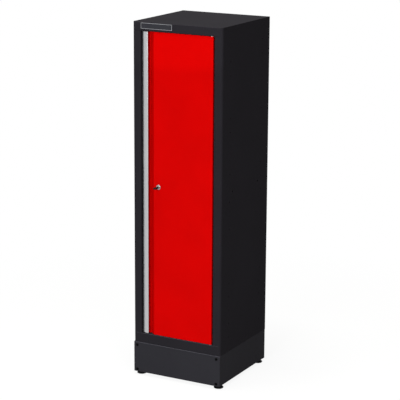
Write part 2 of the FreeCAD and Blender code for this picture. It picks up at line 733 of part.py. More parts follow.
def plinth_post(label, side, face, foot_y, toward):
    """Corner post: an angle inside the corner, with the plate that carries a foot.
    toward is 1 at the front corners and -1 at the back ones."""
    body = new_body(label, z="foot_drop")
    corner_y = f"{face} + {toward}*sheet"
    far_y = f"{corner_y} + {toward}*post_leg"
    path = [
        (mirrored(side, "inner"), far_y),
        (mirrored(side, "inner"), corner_y, "plinth_fold"),
        (mirrored(side, "inner - post_leg"), corner_y),
    ]
    angle = folded(path, -side * toward, "post_sheet")
    pad(body, label + "_angle", "XY", [angle], "outside_bend", "plinth_height - outside_bend")
    edge_x, edge_y = mirrored(side, "inner - post_sheet"), f"{corner_y} + {toward}*post_sheet"
    plate = rectangle(mirrored(side, "inner - post_leg"), edge_x, edge_y, far_y)
    pad(body, label + "_plate", "XY", [plate], "sheet", "sheet + post_plate")
    hole = disc(mirrored(side, "foot_x"), foot_y, "stud_hole")
    cut(body, label + "_foot_hole", "XY", [hole], "0", f"sheet + post_plate + {OVERCUT}")
    if toward > 0:
        x = mirrored(side, "width/2 - screw_inset")
        screws = [disc(x, z, "screw_hole") for z in ("screw_low", "plinth_height - screw_high")]
        cut(body, label + "_screw_holes", "XZ", screws, f"{corner_y} - {OVERCUT}", f"{corner_y} + 2*post_sheet")


CORNERS = [
    ("front_left", -1, "-plinth_proud", "foot_y_inset", 1),
    ("front_right", 1, "-plinth_proud", "foot_y_inset", 1),
    ("back_left", -1, "plinth_back_face", "foot_back", -1),
    ("back_right", 1, "plinth_back_face", "foot_back", -1),
]


def plinth_screws():
    outline = [
        ("-screw_length", "screw_dia"),
        ("0", "screw_dia"),
        ("0", "screw_head_dia"),
        ("screw_head_thick/2", "screw_head_dia"),
        ("screw_head_thick", "screw_head_dia/2"),
    ]
    master = turned("plinth_screw", outline, y="-front", keep=False)
    socket = [(f"{math.cos(turn * math.pi / 3):.6f}*screw_key/sqrt(3)",
               f"{math.sin(turn * math.pi / 3):.6f}*screw_key/sqrt(3)") for turn in range(6)]
    cut(master, "screw_socket", "XY", [socket], "screw_head_thick/3", f"screw_head_thick + {OVERCUT}")
    heights = ("foot_drop + screw_low", "plinth_top - screw_high")
    sides = ("screw_inset - width/2", "width/2 - screw_inset")
    group("plinth_screws", [master], [(x, "-plinth_proud", z) for x in sides for z in heights], TO_FRONT)


def joining_bolts():
    end = "-sheet - bolt_nut - bolt_end"
    bolt = hexagon("joining_bolt", "bolt_flats", "sheet", "sheet + bolt_head", shank=(end, "bolt_dia"))
    nut = hexagon("joining_nut", "bolt_flats", "-sheet - bolt_nut", "-sheet", bore="bolt_dia")
    places = [(x, y, "plinth_top") for x in ("-bolt_x", "bolt_x") for y in ("bolt_inset", "bolt_back")]
    group("joining_bolts", [bolt, nut], places)


def feet():
    nut = hexagon("foot_nut", "foot_nut_flats", "0", "foot_nut_thick", bore="stud_hole")
    seats = [
        (mirrored(side, "foot_x"), foot_y, "foot_drop + sheet + post_plate")
        for name, side, face, foot_y, toward in CORNERS
    ]
    group("foot_nuts", [nut], seats)
    for name, side, face, foot_y, toward in CORNERS:
        place = {"x": mirrored(side, "foot_x"), "y": foot_y}
        pad_outline = [
            ("0", "pad_dia - 2"),
            ("1", "pad_dia"),
            ("pad_edge", "pad_dia"),
            ("pad_height - 1", "pad_dia*0.8"),
            ("pad_height", "stud_dia*2"),
        ]
        base = turned("foot_pad_" + name, pad_outline, **place)
        seat = disc("0", "0", "stud_dia")
        cut(base, f"foot_{name}_seat", "XY", [seat], "stud_seat", f"pad_height + {OVERCUT}")
        stud_outline = [("stud_seat", "stud_dia"), ("stud_seat + stud_length - 1", "stud_dia"),
                        ("stud_seat + stud_length", "stud_dia - 2")]
        turned("foot_stud_" + name, stud_outline, **place)


# ---------------------------------------------------------------------------------------------------------
# Badge plate


def badge():
    place = {"x": "badge_inset - width/2", "z": "top - badge_drop - badge_height"}
    plate = new_body("badge_plate", **place)
    pad(plate, "badge_blank", "XZ", [rectangle("badge_rim", "badge_width - badge_rim",
                                                "badge_rim", "badge_height - badge_rim")], "-badge_thick", "0")
    rim = new_body("badge_rim", **place)
    outer = rectangle("0", "badge_width", "0", "badge_height")
    inner = rectangle("badge_rim", "badge_width - badge_rim", "badge_rim", "badge_height - badge_rim")
    pad(rim, "badge_frame", "XZ", [outer, inner], "-badge_thick - badge_rise", "0")


# ---------------------------------------------------------------------------------------------------------
# Door


def door_panel():
    """Front sheet of the door: the face, the hinged edge folded back and in, and the finger recess on the
    other side, whose floor runs behind the grip to the door's edge."""
    body = new_body("door_panel", z="door_low")
    path = [
        ("door_right - door_lip", "door_back"),
        ("door_right", "door_back"),
        ("door_right", "door_inset"),
        ("slope_front", "door_inset"),
        ("slope_back", "door_back"),
        ("door_left", "door_back"),
    ]
    pad(body, "door_sheet", "XY", [folded(path, -1)], "0", "door_height")
    angle = "tan(atan2(door_depth; slope_run)/2)"
    face = "door_inset + sheet"
    flange = [
        (f"slope_front + sheet*{angle}", face),
        ("door_right - sheet", face),
        ("door_right - sheet", "door_back - sheet"),
        (f"slope_back + sheet*{angle} + sheet*slope_run/door_depth", "door_back - sheet"),
    ]
    recess = rectangle("door_left", "slope_back", "door_back - recess_flange", "door_back")
    ends = {"low": ("0", "sheet"), "high": ("door_height - sheet", "door_height")}
    holes = [disc("lock_x", "rod_y", "guide_dia + 2*slip"),
             disc("pivot_x", "pivot_depth", "bush_dia + 2*slip")]
    for name, (low, high) in ends.items():
        pad(body, f"door_{name}_flange", "XY", [flange], low, high)
        pad(body, f"recess_{name}_flange", "XY", [recess], low, high)
        cut(body, f"door_{name}_holes", "XY", holes, f"{low} - {OVERCUT}", f"{high} + {OVERCUT}")
    lock = disc("lock_x", "door_height/2", "barrel_dia + 2*slip")
    cut(body, "lock_hole", "XZ", [lock], f"door_inset - {OVERCUT}", "door_inset + 2*sheet")
    rivet = disc("door_left + grip_rivet_x", "rivet_end", "rivet_hole")
    rivets = cut(body, "door_rivet_holes", "XZ", [rivet], f"door_back - {OVERCUT}", "door_back + 2*sheet")
    repeat(body, rivets, "Z_Axis", "(door_height - 2*rivet_end)/(rivet_count - 1)", "rivet_count")


def door_stiffener():
    body = new_body("door_stiffener", x="stiffener_x", y="door_inset + sheet", z="door_low + stiffener_end")
    half = "stiffener_width/2"
    path = [
        (f"-{half} - stiffener_foot", "0"),
        (f"-{half}", "0"),
        (f"-{half}", "stiffener_height"),
        (half, "stiffener_height"),
        (half, "0"),
        (f"{half} + stiffener_foot", "0"),
    ]
    pad(body, "stiffener_hat", "XY", [folded(path, 1)], "0", "door_height - 2*stiffener_end")


def grip_outer():
    """The profile's outer line, from its far edge over the crest to the front edge."""
    return [
        ("0", "grip_edge", "grip_bulge", 1),
        ("crest", "0", "grip_nose", 1),
        ("grip_width", "grip_nose"),
    ]


def grip_profile():
    body = new_body("grip_profile", x="door_left", y="door_inset", z="door_low + grip_end")
    bulge = "grip_bulge - grip_wall"
    hollow = f"grip_bulge - sqrt(({bulge})^2 - (crest - grip_wall)^2)"
    section = [("0", "door_depth")] + grip_outer() + [
        ("grip_width", "grip_nose + grip_lip"),
        ("grip_width - grip_wall", "grip_nose + grip_lip"),
        ("grip_width - grip_wall", "grip_nose", "grip_nose - grip_wall", -1),
        ("crest", "grip_wall", bulge, -1),
        ("grip_wall", hollow),
        ("grip_wall", "door_depth - grip_wall"),
        ("grip_foot", "door_depth - grip_wall"),
        ("grip_foot", "door_depth"),
    ]
    pad(body, "grip_section", "XY", [section], "0", "door_height - 2*grip_end")
    rivet = disc("grip_rivet_x", "rivet_end - grip_end", "rivet_hole")
    rivets = cut(body, "grip_rivet_holes", "XZ", [rivet], "door_depth - 2*grip_wall", f"door_depth + {OVERCUT}")
    repeat(body, rivets, "Z_Axis", "(door_height - 2*rivet_end)/(rivet_count - 1)", "rivet_count")


def grip_caps():
    back = "door_depth - recess_flange - fit_gap"
    section = [("0", back)] + grip_outer() + [("grip_width", back)]
    master = new_body("grip_cap", y="-front", keep=False)
    pad(master, "grip_cap_plate", "XY", [section], "0", "grip_end")
    group("grip_caps", [master], [("door_left", "door_inset", z) for z in ("door_low", "door_high - grip_end")])


def grip_rivets():
    hold = "grip_wall + sheet"
    outline = [
        (f"-({hold}) - rivet_head_thick", "rivet_tail_dia"),
        (f"-({hold})", "rivet_tail_dia"),
        (f"-({hold})", "rivet_dia"),
        ("0", "rivet_dia"),
        ("0", "rivet_head_dia"),
        ("rivet_head_thick/2", "rivet_head_dia"),
        ("rivet_head_thick", "rivet_head_dia/2"),
    ]
    master = turned("grip_rivet", outline, y="-front", keep=False)
    rows = spread("door_low + rivet_end", "door_high - rivet_end", "rivet_count")
    places = [("door_left + grip_rivet_x", "door_back - grip_wall", z) for z in rows]
    group("grip_rivets", [master], places, TO_FRONT)


def door_bumpers():
    thick = "stile_return - door_back - sheet - bumper_gap"
    outline = [("0", "bumper_dia"), (f"({thick})*0.6", "bumper_dia"), (thick, "bumper_dia - 2")]
    master = turned("door_bumper", outline, y="-front", keep=False)
    rows = spread("door_low + bumper_end", "door_high - bumper_end", "bumper_count")
    group("door_bumpers", [master], [("stop_lip/2 - opening", "stile_return", z) for z in rows], TO_FRONT)


# ---------------------------------------------------------------------------------------------------------
# Pivots, keepers and guides at the door's two ends, drawn for the lower end; the upper end has the same
# pieces turned over.


def end_pieces(name, frame_z, door_z, turn):
    pin = [
        ("-sheet - pin_head", "pin_head_dia"),
        ("-sheet", "pin_head_dia"),
        ("-sheet", "pin_dia"),
        ("gap_end + pin_reach - 1", "pin_dia"),
        ("gap_end + pin_reach", "pin_dia - 2"),
    ]
    pivot = {"x": "pivot_x", "y": "pivot_depth", "turn": turn}
    rod = {"x": "lock_x", "y": "rod_y", "turn": turn}
    running = "pin_dia + 2*pin_fit"
    turned(f"{name}_pivot_pin", pin, z=frame_z, **pivot)
    bush = [
        ("-bush_flange", "bush_flange_dia"),
        ("0", "bush_flange_dia"),
        ("0", "bush_dia"),
        ("bush_length", "bush_dia"),
    ]
    turned(f"{name}_pivot_bush", bush, z=door_z, bore=running, **pivot)
    guide = [
        ("0", "guide_dia"),
        ("sheet", "guide_dia"),
        ("sheet", "guide_collar_dia"),
        ("guide_length", "guide_collar_dia"),
    ]
    turned(f"{name}_rod_guide", guide, z=door_z, bore="rod_dia + 2*rod_slack", **rod)


def washers_and_keepers():
    ends = (("sill", UP), ("head", DOWN))
    outline = [("0", "bush_flange_dia"), ("gap_end - bush_flange - thrust_gap", "bush_flange_dia")]
    washer = turned("pivot_washer", outline, y="-front", bore="pin_dia + 2*pin_fit", keep=False)
    group("pivot_washers", [washer], [("pivot_x", "pivot_depth", z, turn) for z, turn in ends])
    outline = [
        ("-keeper_length", "keeper_dia"),
        ("0", "keeper_dia"),
        ("0", "keeper_flange_dia"),
        ("keeper_flange", "keeper_flange_dia - 1"),
    ]
    keeper = turned("rod_keeper", outline, y="-front", bore="keeper_bore", keep=False)
    group("rod_keepers", [keeper], [("lock_x", "rod_y", z, turn) for z, turn in ends])


def pivot_plates():
    master = new_body("pivot_plate_master", y="-front", keep=False)
    edge = "door_right - outside_bend"
    plate = rectangle(f"{edge} - pivot_plate_width", edge, "door_inset + sheet", "door_back - sheet")
    pad(master, "pivot_plate_blank", "XY", [plate], "0", "pivot_plate")
    hole = disc("pivot_x", "pivot_depth", "bush_dia + 2*slip")
    cut(master, "pivot_plate_hole", "XY", [hole], f"-{OVERCUT}", f"pivot_plate + {OVERCUT}")
    heights = ("door_low + sheet", "door_high - sheet - pivot_plate")
    group("pivot_plates", [master], [("0", "0", z) for z in heights])


# ---------------------------------------------------------------------------------------------------------
# Lock: its own Z axis points out of the door


LOCK = {"x": "lock_x", "y": "door_inset", "z": "lock_z", "turn": TO_FRONT}


def lock_barrel():
    outline = [
        ("-barrel_length", "barrel_dia"),
        ("0", "barrel_dia"),
        ("0", "rosette_dia"),
        ("rosette_proud - rosette_chamfer", "rosette_dia"),
        ("rosette_proud", "rosette_dia - 2*rosette_chamfer"),
    ]
    turned("lock_barrel", outline, bore="plug_dia + 2*plug_fit", **LOCK)


def lock_nut():
    low, high = "-sheet - case_wall - barrel_nut", "-sheet - case_wall"
    nut = hexagon("barrel_nut_blank", "barrel_nut_flats", low, high, bore="barrel_dia")
    group("lock_nut", [nut], [("lock_x", "door_inset", "lock_z")], TO_FRONT)


def lock_plug():
    tail_end = "-sheet - case_depth - case_wall - 1"
    outline = [
        (tail_end, "tail_dia"),
        ("-barrel_length", "tail_dia"),
        ("-barrel_length", "plug_dia"),
        ("rosette_proud + plug_proud", "plug_dia"),
    ]
    body = turned("lock_plug", outline, **LOCK)
    keyway = rectangle("-keyway_width/2", "keyway_width/2", "-keyway_height/2", "keyway_height/2")
    cut(body, "keyway", "XY", [keyway], "-barrel_length", f"rosette_proud + plug_proud + {OVERCUT}")


def pinion_outline():
    """Involute teeth with their thickness reduced by half the backlash on each side of the mesh."""
    pitch, teeth = value("pitch_radius"), int(value("pinion_teeth"))
    pressure = math.radians(PRESSURE_ANGLE)
    base = pitch * math.cos(pressure)
    tip, root = pitch + value("rack_addendum"), pitch - value("rack_dedendum")
    half = math.pi / (2 * teeth) - value("backlash") / (4 * pitch)
    flank = []
    for step in range(6):
        radius = base + (tip - base) * step / 5
        roll = math.acos(base / radius)
        flank.append((radius, half + math.tan(pressure) - pressure - math.tan(roll) + roll))
    flank.insert(0, (root, flank[0][1]))
    points = []
    for tooth in range(teeth):
        middle = (tooth + 0.5) * 2 * math.pi / teeth
        for radius, offset in flank:
            points.append((radius, middle - offset))
        for radius, offset in reversed(flank):
            points.append((radius, middle + offset))
    return [Vector(radius * math.cos(angle), radius * math.sin(angle), 0) for radius, angle in points]


def lock_pinion():
    """The gear's section comes from a formula, so it is made straight from its outline."""
    points = pinion_outline()
    wire = Part.makePolygon(points + points[:1])
    thick = value("pinion_thick")
    blank = Part.Face(wire).extrude(Vector(0, 0, thick))
    gear = blank.cut(Part.makeCylinder(value("tail_dia/2"), thick))
    whole = doc.addObject("Part::Feature", "lock_pinion")
    whole.Label = "lock_pinion"
    whole.Shape = gear
    middle = Vector(value("lock_x"), value("front + rod_y") + thick / 2, value("lock_z"))
    whole.Placement = FreeCAD.Placement(middle, TO_FRONT)
    pieces.append(whole)


def rack_outline():
    """Teeth on the side that faces the pinion, the bar behind them, and the crank out to the rod."""
    slope = math.tan(math.radians(PRESSURE_ANGLE))
    low, high = "-rack_lead - rod_travel", "rack_neck + crank_height"
    half = "(tooth_pitch/4 - backlash/4)"
    tip_half = f"({half} - {slope:.6f}*rack_addendum)"
    root_half = f"({half} + {slope:.6f}*rack_dedendum)"
    loop = [("-rack_root - rack_back", high), ("-rack_root - rack_back", low), ("-rack_root", low)]
    first = math.ceil(value(f"({low} + {root_half})/tooth_pitch"))
    last = math.floor(value(f"(rack_lead - {root_half})/tooth_pitch"))
    for tooth in range(first, last + 1):
        loop += [
            ("-rack_root", f"{tooth}*tooth_pitch - {root_half}"),
            ("-rack_tip", f"{tooth}*tooth_pitch - {tip_half}"),
            ("-rack_tip", f"{tooth}*tooth_pitch + {tip_half}"),
            ("-rack_root", f"{tooth}*tooth_pitch + {root_half}"),
        ]
    return loop + [("-rack_root", "rack_neck"), ("rod_dia/2", "rack_neck"), ("rod_dia/2", high)]


def locking_rod(label, turn):
    """One rod: its own Z axis points to the door's end, and its rack lies on its own -X side."""
    body = new_body(label, x="lock_x", y="rod_y", z="lock_z", turn=turn)
    pad(body, label + "_rack", "XZ", [rack_outline()], "-rack_thick/2", "rack_thick/2")
    end = "door_height/2 - rod_set_in"
    pad(body, label + "_bar", "XY", [disc("0", "0", "rod_dia")], "rack_neck + crank_height/2", end)


def case_corners():
    x, z = "case_width/2 - case_boss_inset", "case_height/2 - case_boss_inset"
    return [(f"{a}*({x})", f"{b}*({z})") for a in (-1, 1) for b in (-1, 1)]


def lock_case():
    body = new_body("lock_case", x="lock_x", y="door_inset + sheet", z="lock_z")
    half_x, half_z, wall = "case_width/2", "case_height/2", "case_wall"
    outer = rectangle(f"-{half_x}", half_x, f"-{half_z}", half_z)
    inner = rectangle(f"{wall} - {half_x}", f"{half_x} - {wall}", f"{wall} - {half_z}", f"{half_z} - {wall}")
    pad(body, "case_floor", "XZ", [outer], "0", wall)
    pad(body, "case_walls", "XZ", [outer, inner], "0", "case_depth")
    pad(body, "case_bosses", "XZ", [disc(x, z, "case_boss") for x, z in case_corners()], "0", "case_depth")
    screws = [disc(x, z, "case_screw_dia + 2*slip") for x, z in case_corners()]
    cut(body, "case_screw_holes", "XZ", screws, "case_depth - case_screw_length - 1", f"case_depth + {OVERCUT}")
    barrel = disc("0", "0", "barrel_dia + 2*slip")
    cut(body, "case_lock_hole", "XZ", [barrel], f"-{OVERCUT}", f"{wall} + {OVERCUT}")
    rod = disc("0", "rod_room", "rod_dia + 10*rod_slack")
    cut(body, "case_rod_holes", "XY", [rod], f"-{half_z} - {OVERCUT}", f"{half_z} + {OVERCUT}")

    cover = new_body("lock_case_cover", x="lock_x", y="door_inset + sheet + case_depth", z="lock_z")
    holes = [disc(x, z, "case_screw_dia + 2*slip") for x, z in case_corners()]
    bearing = disc("0", "0", "tail_dia + 2*plug_fit")
    pad(cover, "case_cover_plate", "XZ", [outer, bearing] + holes, "0", wall)


def case_screws():
    outline = [
        ("case_wall - case_screw_length", "case_screw_dia"),
        ("case_wall", "case_screw_dia"),
        ("case_wall", "case_screw_head_dia"),
        ("case_wall + case_screw_head", "case_screw_head_dia - 1"),
    ]
    master = turned("case_screw", outline, y="-front", keep=False)
    face = "door_inset + sheet + case_depth"
    places = [(f"lock_x + {x}", face, f"lock_z + {z}") for x, z in case_corners()]
    group("lock_case_screws", [master], places, TO_BACK)


def key():
    """The key lies flat while the lock is open; its bow is in the lock's own XZ plane."""
    blade = new_body("key_blade", **LOCK)
    half_x, half_y = "(keyway_width/2 - key_slack)", "(keyway_height/2 - key_slack)"
    section = rectangle(f"-{half_x}", half_x, f"-{half_y}", half_y)
    pad(blade, "key_blade_bar", "XY", [section], "-blade_back", "bow_front")

    bow = new_body("key_bow", **LOCK)
    half, neck, end, corner = "bow_width/2", "bow_neck_width/2", "bow_front + bow_length", "bow_corner"
    join = f"bow_front + {corner} - sqrt({corner}^2 - ({neck} - {half} + {corner})^2)"
    outline = [
        (f"-{neck}", "key_front"),
        (neck, "key_front"),
        (neck, join, corner, 1),
        (half, f"bow_front + {corner}"),
        (half, f"{end} - {corner}", corner, 1),
        (f"{half} - {corner}", end),
        (f"{corner} - {half}", end, corner, 1),
        (f"-{half}", f"{end} - {corner}"),
        (f"-{half}", f"bow_front + {corner}", corner, 1),
        (f"-{neck}", join),
    ]
    ring = disc("0", f"{end} - bow_hole", "bow_hole")
    pad(bow, "key_bow_plate", "XZ", [outline, ring], "-bow_thick/2", "bow_thick/2")
    cut(bow, "key_blade_seat", "XY", [section], f"key_front - {OVERCUT}", "bow_front")


def build():
    side_panel(-1, "left")
    side_panel(1, "right")
    top_panel()
    bottom_panel()
    back_panel()
    back_rivets()
    for index in range(int(value("shelf_count"))):
        shelf(index)
    shelf_pegs()
    plinth_front()
    plinth_end("plinth_back", "plinth_back_face", "depth - plinth_lip", 1)
    plinth_side(-1, "left")
    plinth_side(1, "right")
    for name, side, face, foot_y, toward in CORNERS:
        plinth_post("plinth_post_" + name, side, face, foot_y, toward)
    plinth_screws()
    joining_bolts()
    feet()
    badge()
    door_panel()
    door_stiffener()
    grip_profile()
    grip_caps()
    grip_rivets()
    door_bumpers()
    end_pieces("lower", "sill", "door_low", UP)
    end_pieces("upper", "head", "door_high", DOWN)
    washers_and_keepers()
    pivot_plates()
    lock_barrel()
    lock_nut()
    lock_plug()
    lock_pinion()
    locking_rod("upper_rod", UP)
    locking_rod("lower_rod", HALF_TURN)
    lock_case()
    case_screws()
    key()


def export():
    doc.recompute()
    for thing in doc.Objects:
        if {"Invalid", "Error"} & set(thing.State):
            raise RuntimeError(f"{thing.Label} failed: {thing.State}")
    for piece in pieces:
        if piece.Shape.isNull() or not piece.Shape.isValid() or not piece.Shape.Solids:
            raise RuntimeError(f"{piece.Label} has no valid solid")
    os.makedirs("parts", exist_ok=True)
    for piece in pieces:
        piece.Shape.exportStep(f"parts/{piece.Label}.step")
        print(f"{piece.Label}: {len(piece.Shape.Solids)} solid(s), {piece.Shape.Volume / 1000:.1f} cm3")
    print(len(pieces), "pieces")


build()
export()
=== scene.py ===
"""Dresses the workshop side locker: softened sheet metal, threaded fasteners, paints and metals."""
import json
import math

import bmesh
import bpy
from bpy.props import FloatProperty, FloatVectorProperty, PointerProperty
from bpy.types import Operator, Panel, PropertyGroup
from mathutils import Matrix, Vector

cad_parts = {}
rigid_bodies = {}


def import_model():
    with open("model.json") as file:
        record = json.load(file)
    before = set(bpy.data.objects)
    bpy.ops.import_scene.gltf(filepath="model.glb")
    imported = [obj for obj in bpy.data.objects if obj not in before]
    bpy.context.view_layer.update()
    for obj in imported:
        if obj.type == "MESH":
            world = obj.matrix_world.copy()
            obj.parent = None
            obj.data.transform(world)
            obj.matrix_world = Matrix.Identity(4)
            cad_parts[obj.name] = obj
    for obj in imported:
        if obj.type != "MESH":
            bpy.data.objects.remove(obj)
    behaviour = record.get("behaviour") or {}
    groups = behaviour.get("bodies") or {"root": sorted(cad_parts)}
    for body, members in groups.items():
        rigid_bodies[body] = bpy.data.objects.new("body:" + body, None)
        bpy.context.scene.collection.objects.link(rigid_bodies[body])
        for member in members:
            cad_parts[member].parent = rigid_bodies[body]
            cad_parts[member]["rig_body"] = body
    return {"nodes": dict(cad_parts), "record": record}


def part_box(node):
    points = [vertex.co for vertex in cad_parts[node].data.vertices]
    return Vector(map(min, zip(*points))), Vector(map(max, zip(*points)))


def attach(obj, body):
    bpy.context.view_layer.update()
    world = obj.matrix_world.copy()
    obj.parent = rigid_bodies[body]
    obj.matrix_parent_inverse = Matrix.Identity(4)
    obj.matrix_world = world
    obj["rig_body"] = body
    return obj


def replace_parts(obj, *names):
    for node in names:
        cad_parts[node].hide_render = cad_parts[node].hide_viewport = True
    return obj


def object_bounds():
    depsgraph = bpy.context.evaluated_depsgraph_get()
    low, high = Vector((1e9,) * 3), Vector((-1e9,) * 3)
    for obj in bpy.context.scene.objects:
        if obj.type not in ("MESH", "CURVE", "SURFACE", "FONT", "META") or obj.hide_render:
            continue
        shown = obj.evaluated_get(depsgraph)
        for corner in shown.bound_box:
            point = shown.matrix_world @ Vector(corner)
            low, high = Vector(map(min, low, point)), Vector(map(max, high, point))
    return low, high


bl_info = {
    "name": "Workshop side locker",
    "version": (1, 0, 0),
    "blender": (4, 5, 0),
    "location": "3D View > Sidebar > Locker",
    "description": "Paints, metals and detailed pieces for a tall workshop locker on its plinth",
    "category": "Object",
}

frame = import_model()
cad_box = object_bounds()
nodes = frame["nodes"]
slots = {part["node"]: part["material_slot"] for part in frame["record"]["subparts"]}

MM = 0.001
NEAR = 0.01 * MM
SAME = 0.001 * MM  # corners closer than this are joined
FLAT = math.radians(0.3)  # faces whose angle is smaller are one face
CREASE = math.radians(35)  # edges sharper than this stay sharp
TALLEST_NUT = 10 * MM
RUNNING = 0.05 * MM  # clearance round a shaft or a plug
FOLD_REACH = 2.8 * MM  # how far the painted highlight reaches from the edge of its fold
FOLD_HIGHLIGHT_GAIN = 2.3  # how much lighter than the paint the painted highlight is
SLOT_SHARE = 0.26  # width of a crossed recess's slots, as a share of their length
BEAM_ANGLE = math.radians(28.5)
BEAM_BLEND = 0.06
BEAM_RADIUS = 0.02
FLOOR_RADIUS = 14
FLOOR_FADE = (0.8, 2.4)  # distances from the middle between which the floor turns white
FLOOR_WHITE = 0.9  # share of white close to the middle
SENSOR = 36  # width in millimetres
UNSHADED = (1, 1, 1, 1)
UP = (0, 0, 0)
TO_FRONT = (math.pi / 2, 0, 0)
TO_BACK = (-math.pi / 2, 0, 0)
TO_RIGHT = (0, math.pi / 2, 0)
TO_LEFT = (0, -math.pi / 2, 0)


def middle(node):
    low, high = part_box(node)
    return (low + high) / 2


# ---------------------------------------------------------------------------------------------------------
# Settings


class LockerPaints(PropertyGroup):
    charcoal: FloatVectorProperty(
        name="Charcoal", description="Powder coat of the cabinet",
        subtype="COLOR", size=4, min=0, max=1, default=(0.0188, 0.0174, 0.0208, 1),
    )
    plinth: FloatVectorProperty(
        name="Plinth grey", description="Powder coat of the plinth",
        subtype="COLOR", size=4, min=0, max=1, default=(0.0258, 0.0249, 0.0294, 1),
    )
    red: FloatVectorProperty(
        name="Red", description="Powder coat of the door",
        subtype="COLOR", size=4, min=0, max=1, default=(0.569, 0.0008, 0.0007, 1),
    )
    silver: FloatVectorProperty(
        name="Silver", description="Anodised grip profile",
        subtype="COLOR", size=4, min=0, max=1, default=(0.47, 0.475, 0.485, 1),
    )
    zinc: FloatVectorProperty(
        name="Zinc", description="Plating of the fasteners, rods and lock case",
        subtype="COLOR", size=4, min=0, max=1, default=(0.50, 0.51, 0.53, 1),
    )
    black: FloatVectorProperty(
        name="Black plastic", description="Foot pads, caps, guides and the key's head",
        subtype="COLOR", size=4, min=0, max=1, default=(0.005, 0.005, 0.0055, 1),
    )


def length(name, description, millimetres):
    """A size in the sidebar, given in millimetres."""
    return FloatProperty(
        name=name, description=description, default=millimetres * MM,
        min=NEAR, unit="LENGTH", precision=5,
    )


class LockerTrim(PropertyGroup):
    fine_edge: length("Fine edge", "Rounding of the edges of small pieces", 0.15)
    sheet: length("Sheet", "Thickness of the folded steel", 1.2)
    plinth_round: length("Plinth fold", "Outside radius along the plinth's top and bottom", 2.2)
    thread_pitch: length("Stud pitch", "Pitch of the thread on the feet", 1.5)
    thread_depth: length("Stud thread", "Depth of the thread on the feet", 0.8)
    screw: length("Screw shank", "Diameter of a plinth screw's shank", 6)
    coarse_pitch: length("Screw pitch", "Pitch of the thread on screws and bolts", 1.25)
    fine_pitch: length("Fine pitch", "Pitch of the thread on the lock", 1.0)
    barrel: length("Lock body", "Diameter of the lock's threaded body", 18)
    barrel_nut: length("Lock nut", "Width of the lock's nut across its flats", 24)
    bolt: length("Bolt", "Diameter of the bolts under the cabinet", 8)
    bolt_head: length("Bolt head", "Thickness of the bolts' heads", 5.3)
    bolt_flats: length("Bolt flats", "Width of the bolts' heads and nuts across their flats", 13)
    foot_nut_flats: length("Foot nut flats", "Width of the feet's nuts across their flats", 17)
    stud: length("Foot stud", "Diameter of the feet's studs", 10)
    stud_seat: length("Stud seat", "Height of the stud's seat in the pad", 4)
    rivet_head: length("Rivet head", "Thickness of a blind rivet's head", 1.2)
    peg: length("Shelf peg", "Diameter of a shelf peg inside the cabinet", 7)
    key_ring: length("Key ring hole", "Diameter of the hole for a key ring", 6.5)
    key_round: length("Key edge", "Rounding of the key's head", 1.5)


class LockerStage(PropertyGroup):
    camera_place: FloatVectorProperty(
        name="Camera place", description="Where the camera stands",
        subtype="TRANSLATION", unit="LENGTH", size=3, default=(3.74275, -6.8917, 2.8339),
    )
    camera_yaw: FloatProperty(
        name="Camera yaw", description="How far the camera looks to the left of straight back",
        subtype="ANGLE", unit="ROTATION", default=0.49833,
    )
    camera_pitch: FloatProperty(
        name="Camera pitch", description="How far the camera looks down",
        subtype="ANGLE", unit="ROTATION", default=0.24152,
    )
    camera_roll: FloatProperty(
        name="Camera roll", description="Roll about the camera's own axis",
        subtype="ANGLE", unit="ROTATION", default=0.0052,
    )
    lens: FloatProperty(
        name="Lens", description="Focal length on a sensor 36 mm wide",
        subtype="DISTANCE_CAMERA", unit="CAMERA", default=142.205,
    )
    ambient: FloatProperty(
        name="Ambient light", description="Strength of the world's light on the object",
        default=0.065, min=0, max=1,
    )


# ---------------------------------------------------------------------------------------------------------
# Materials


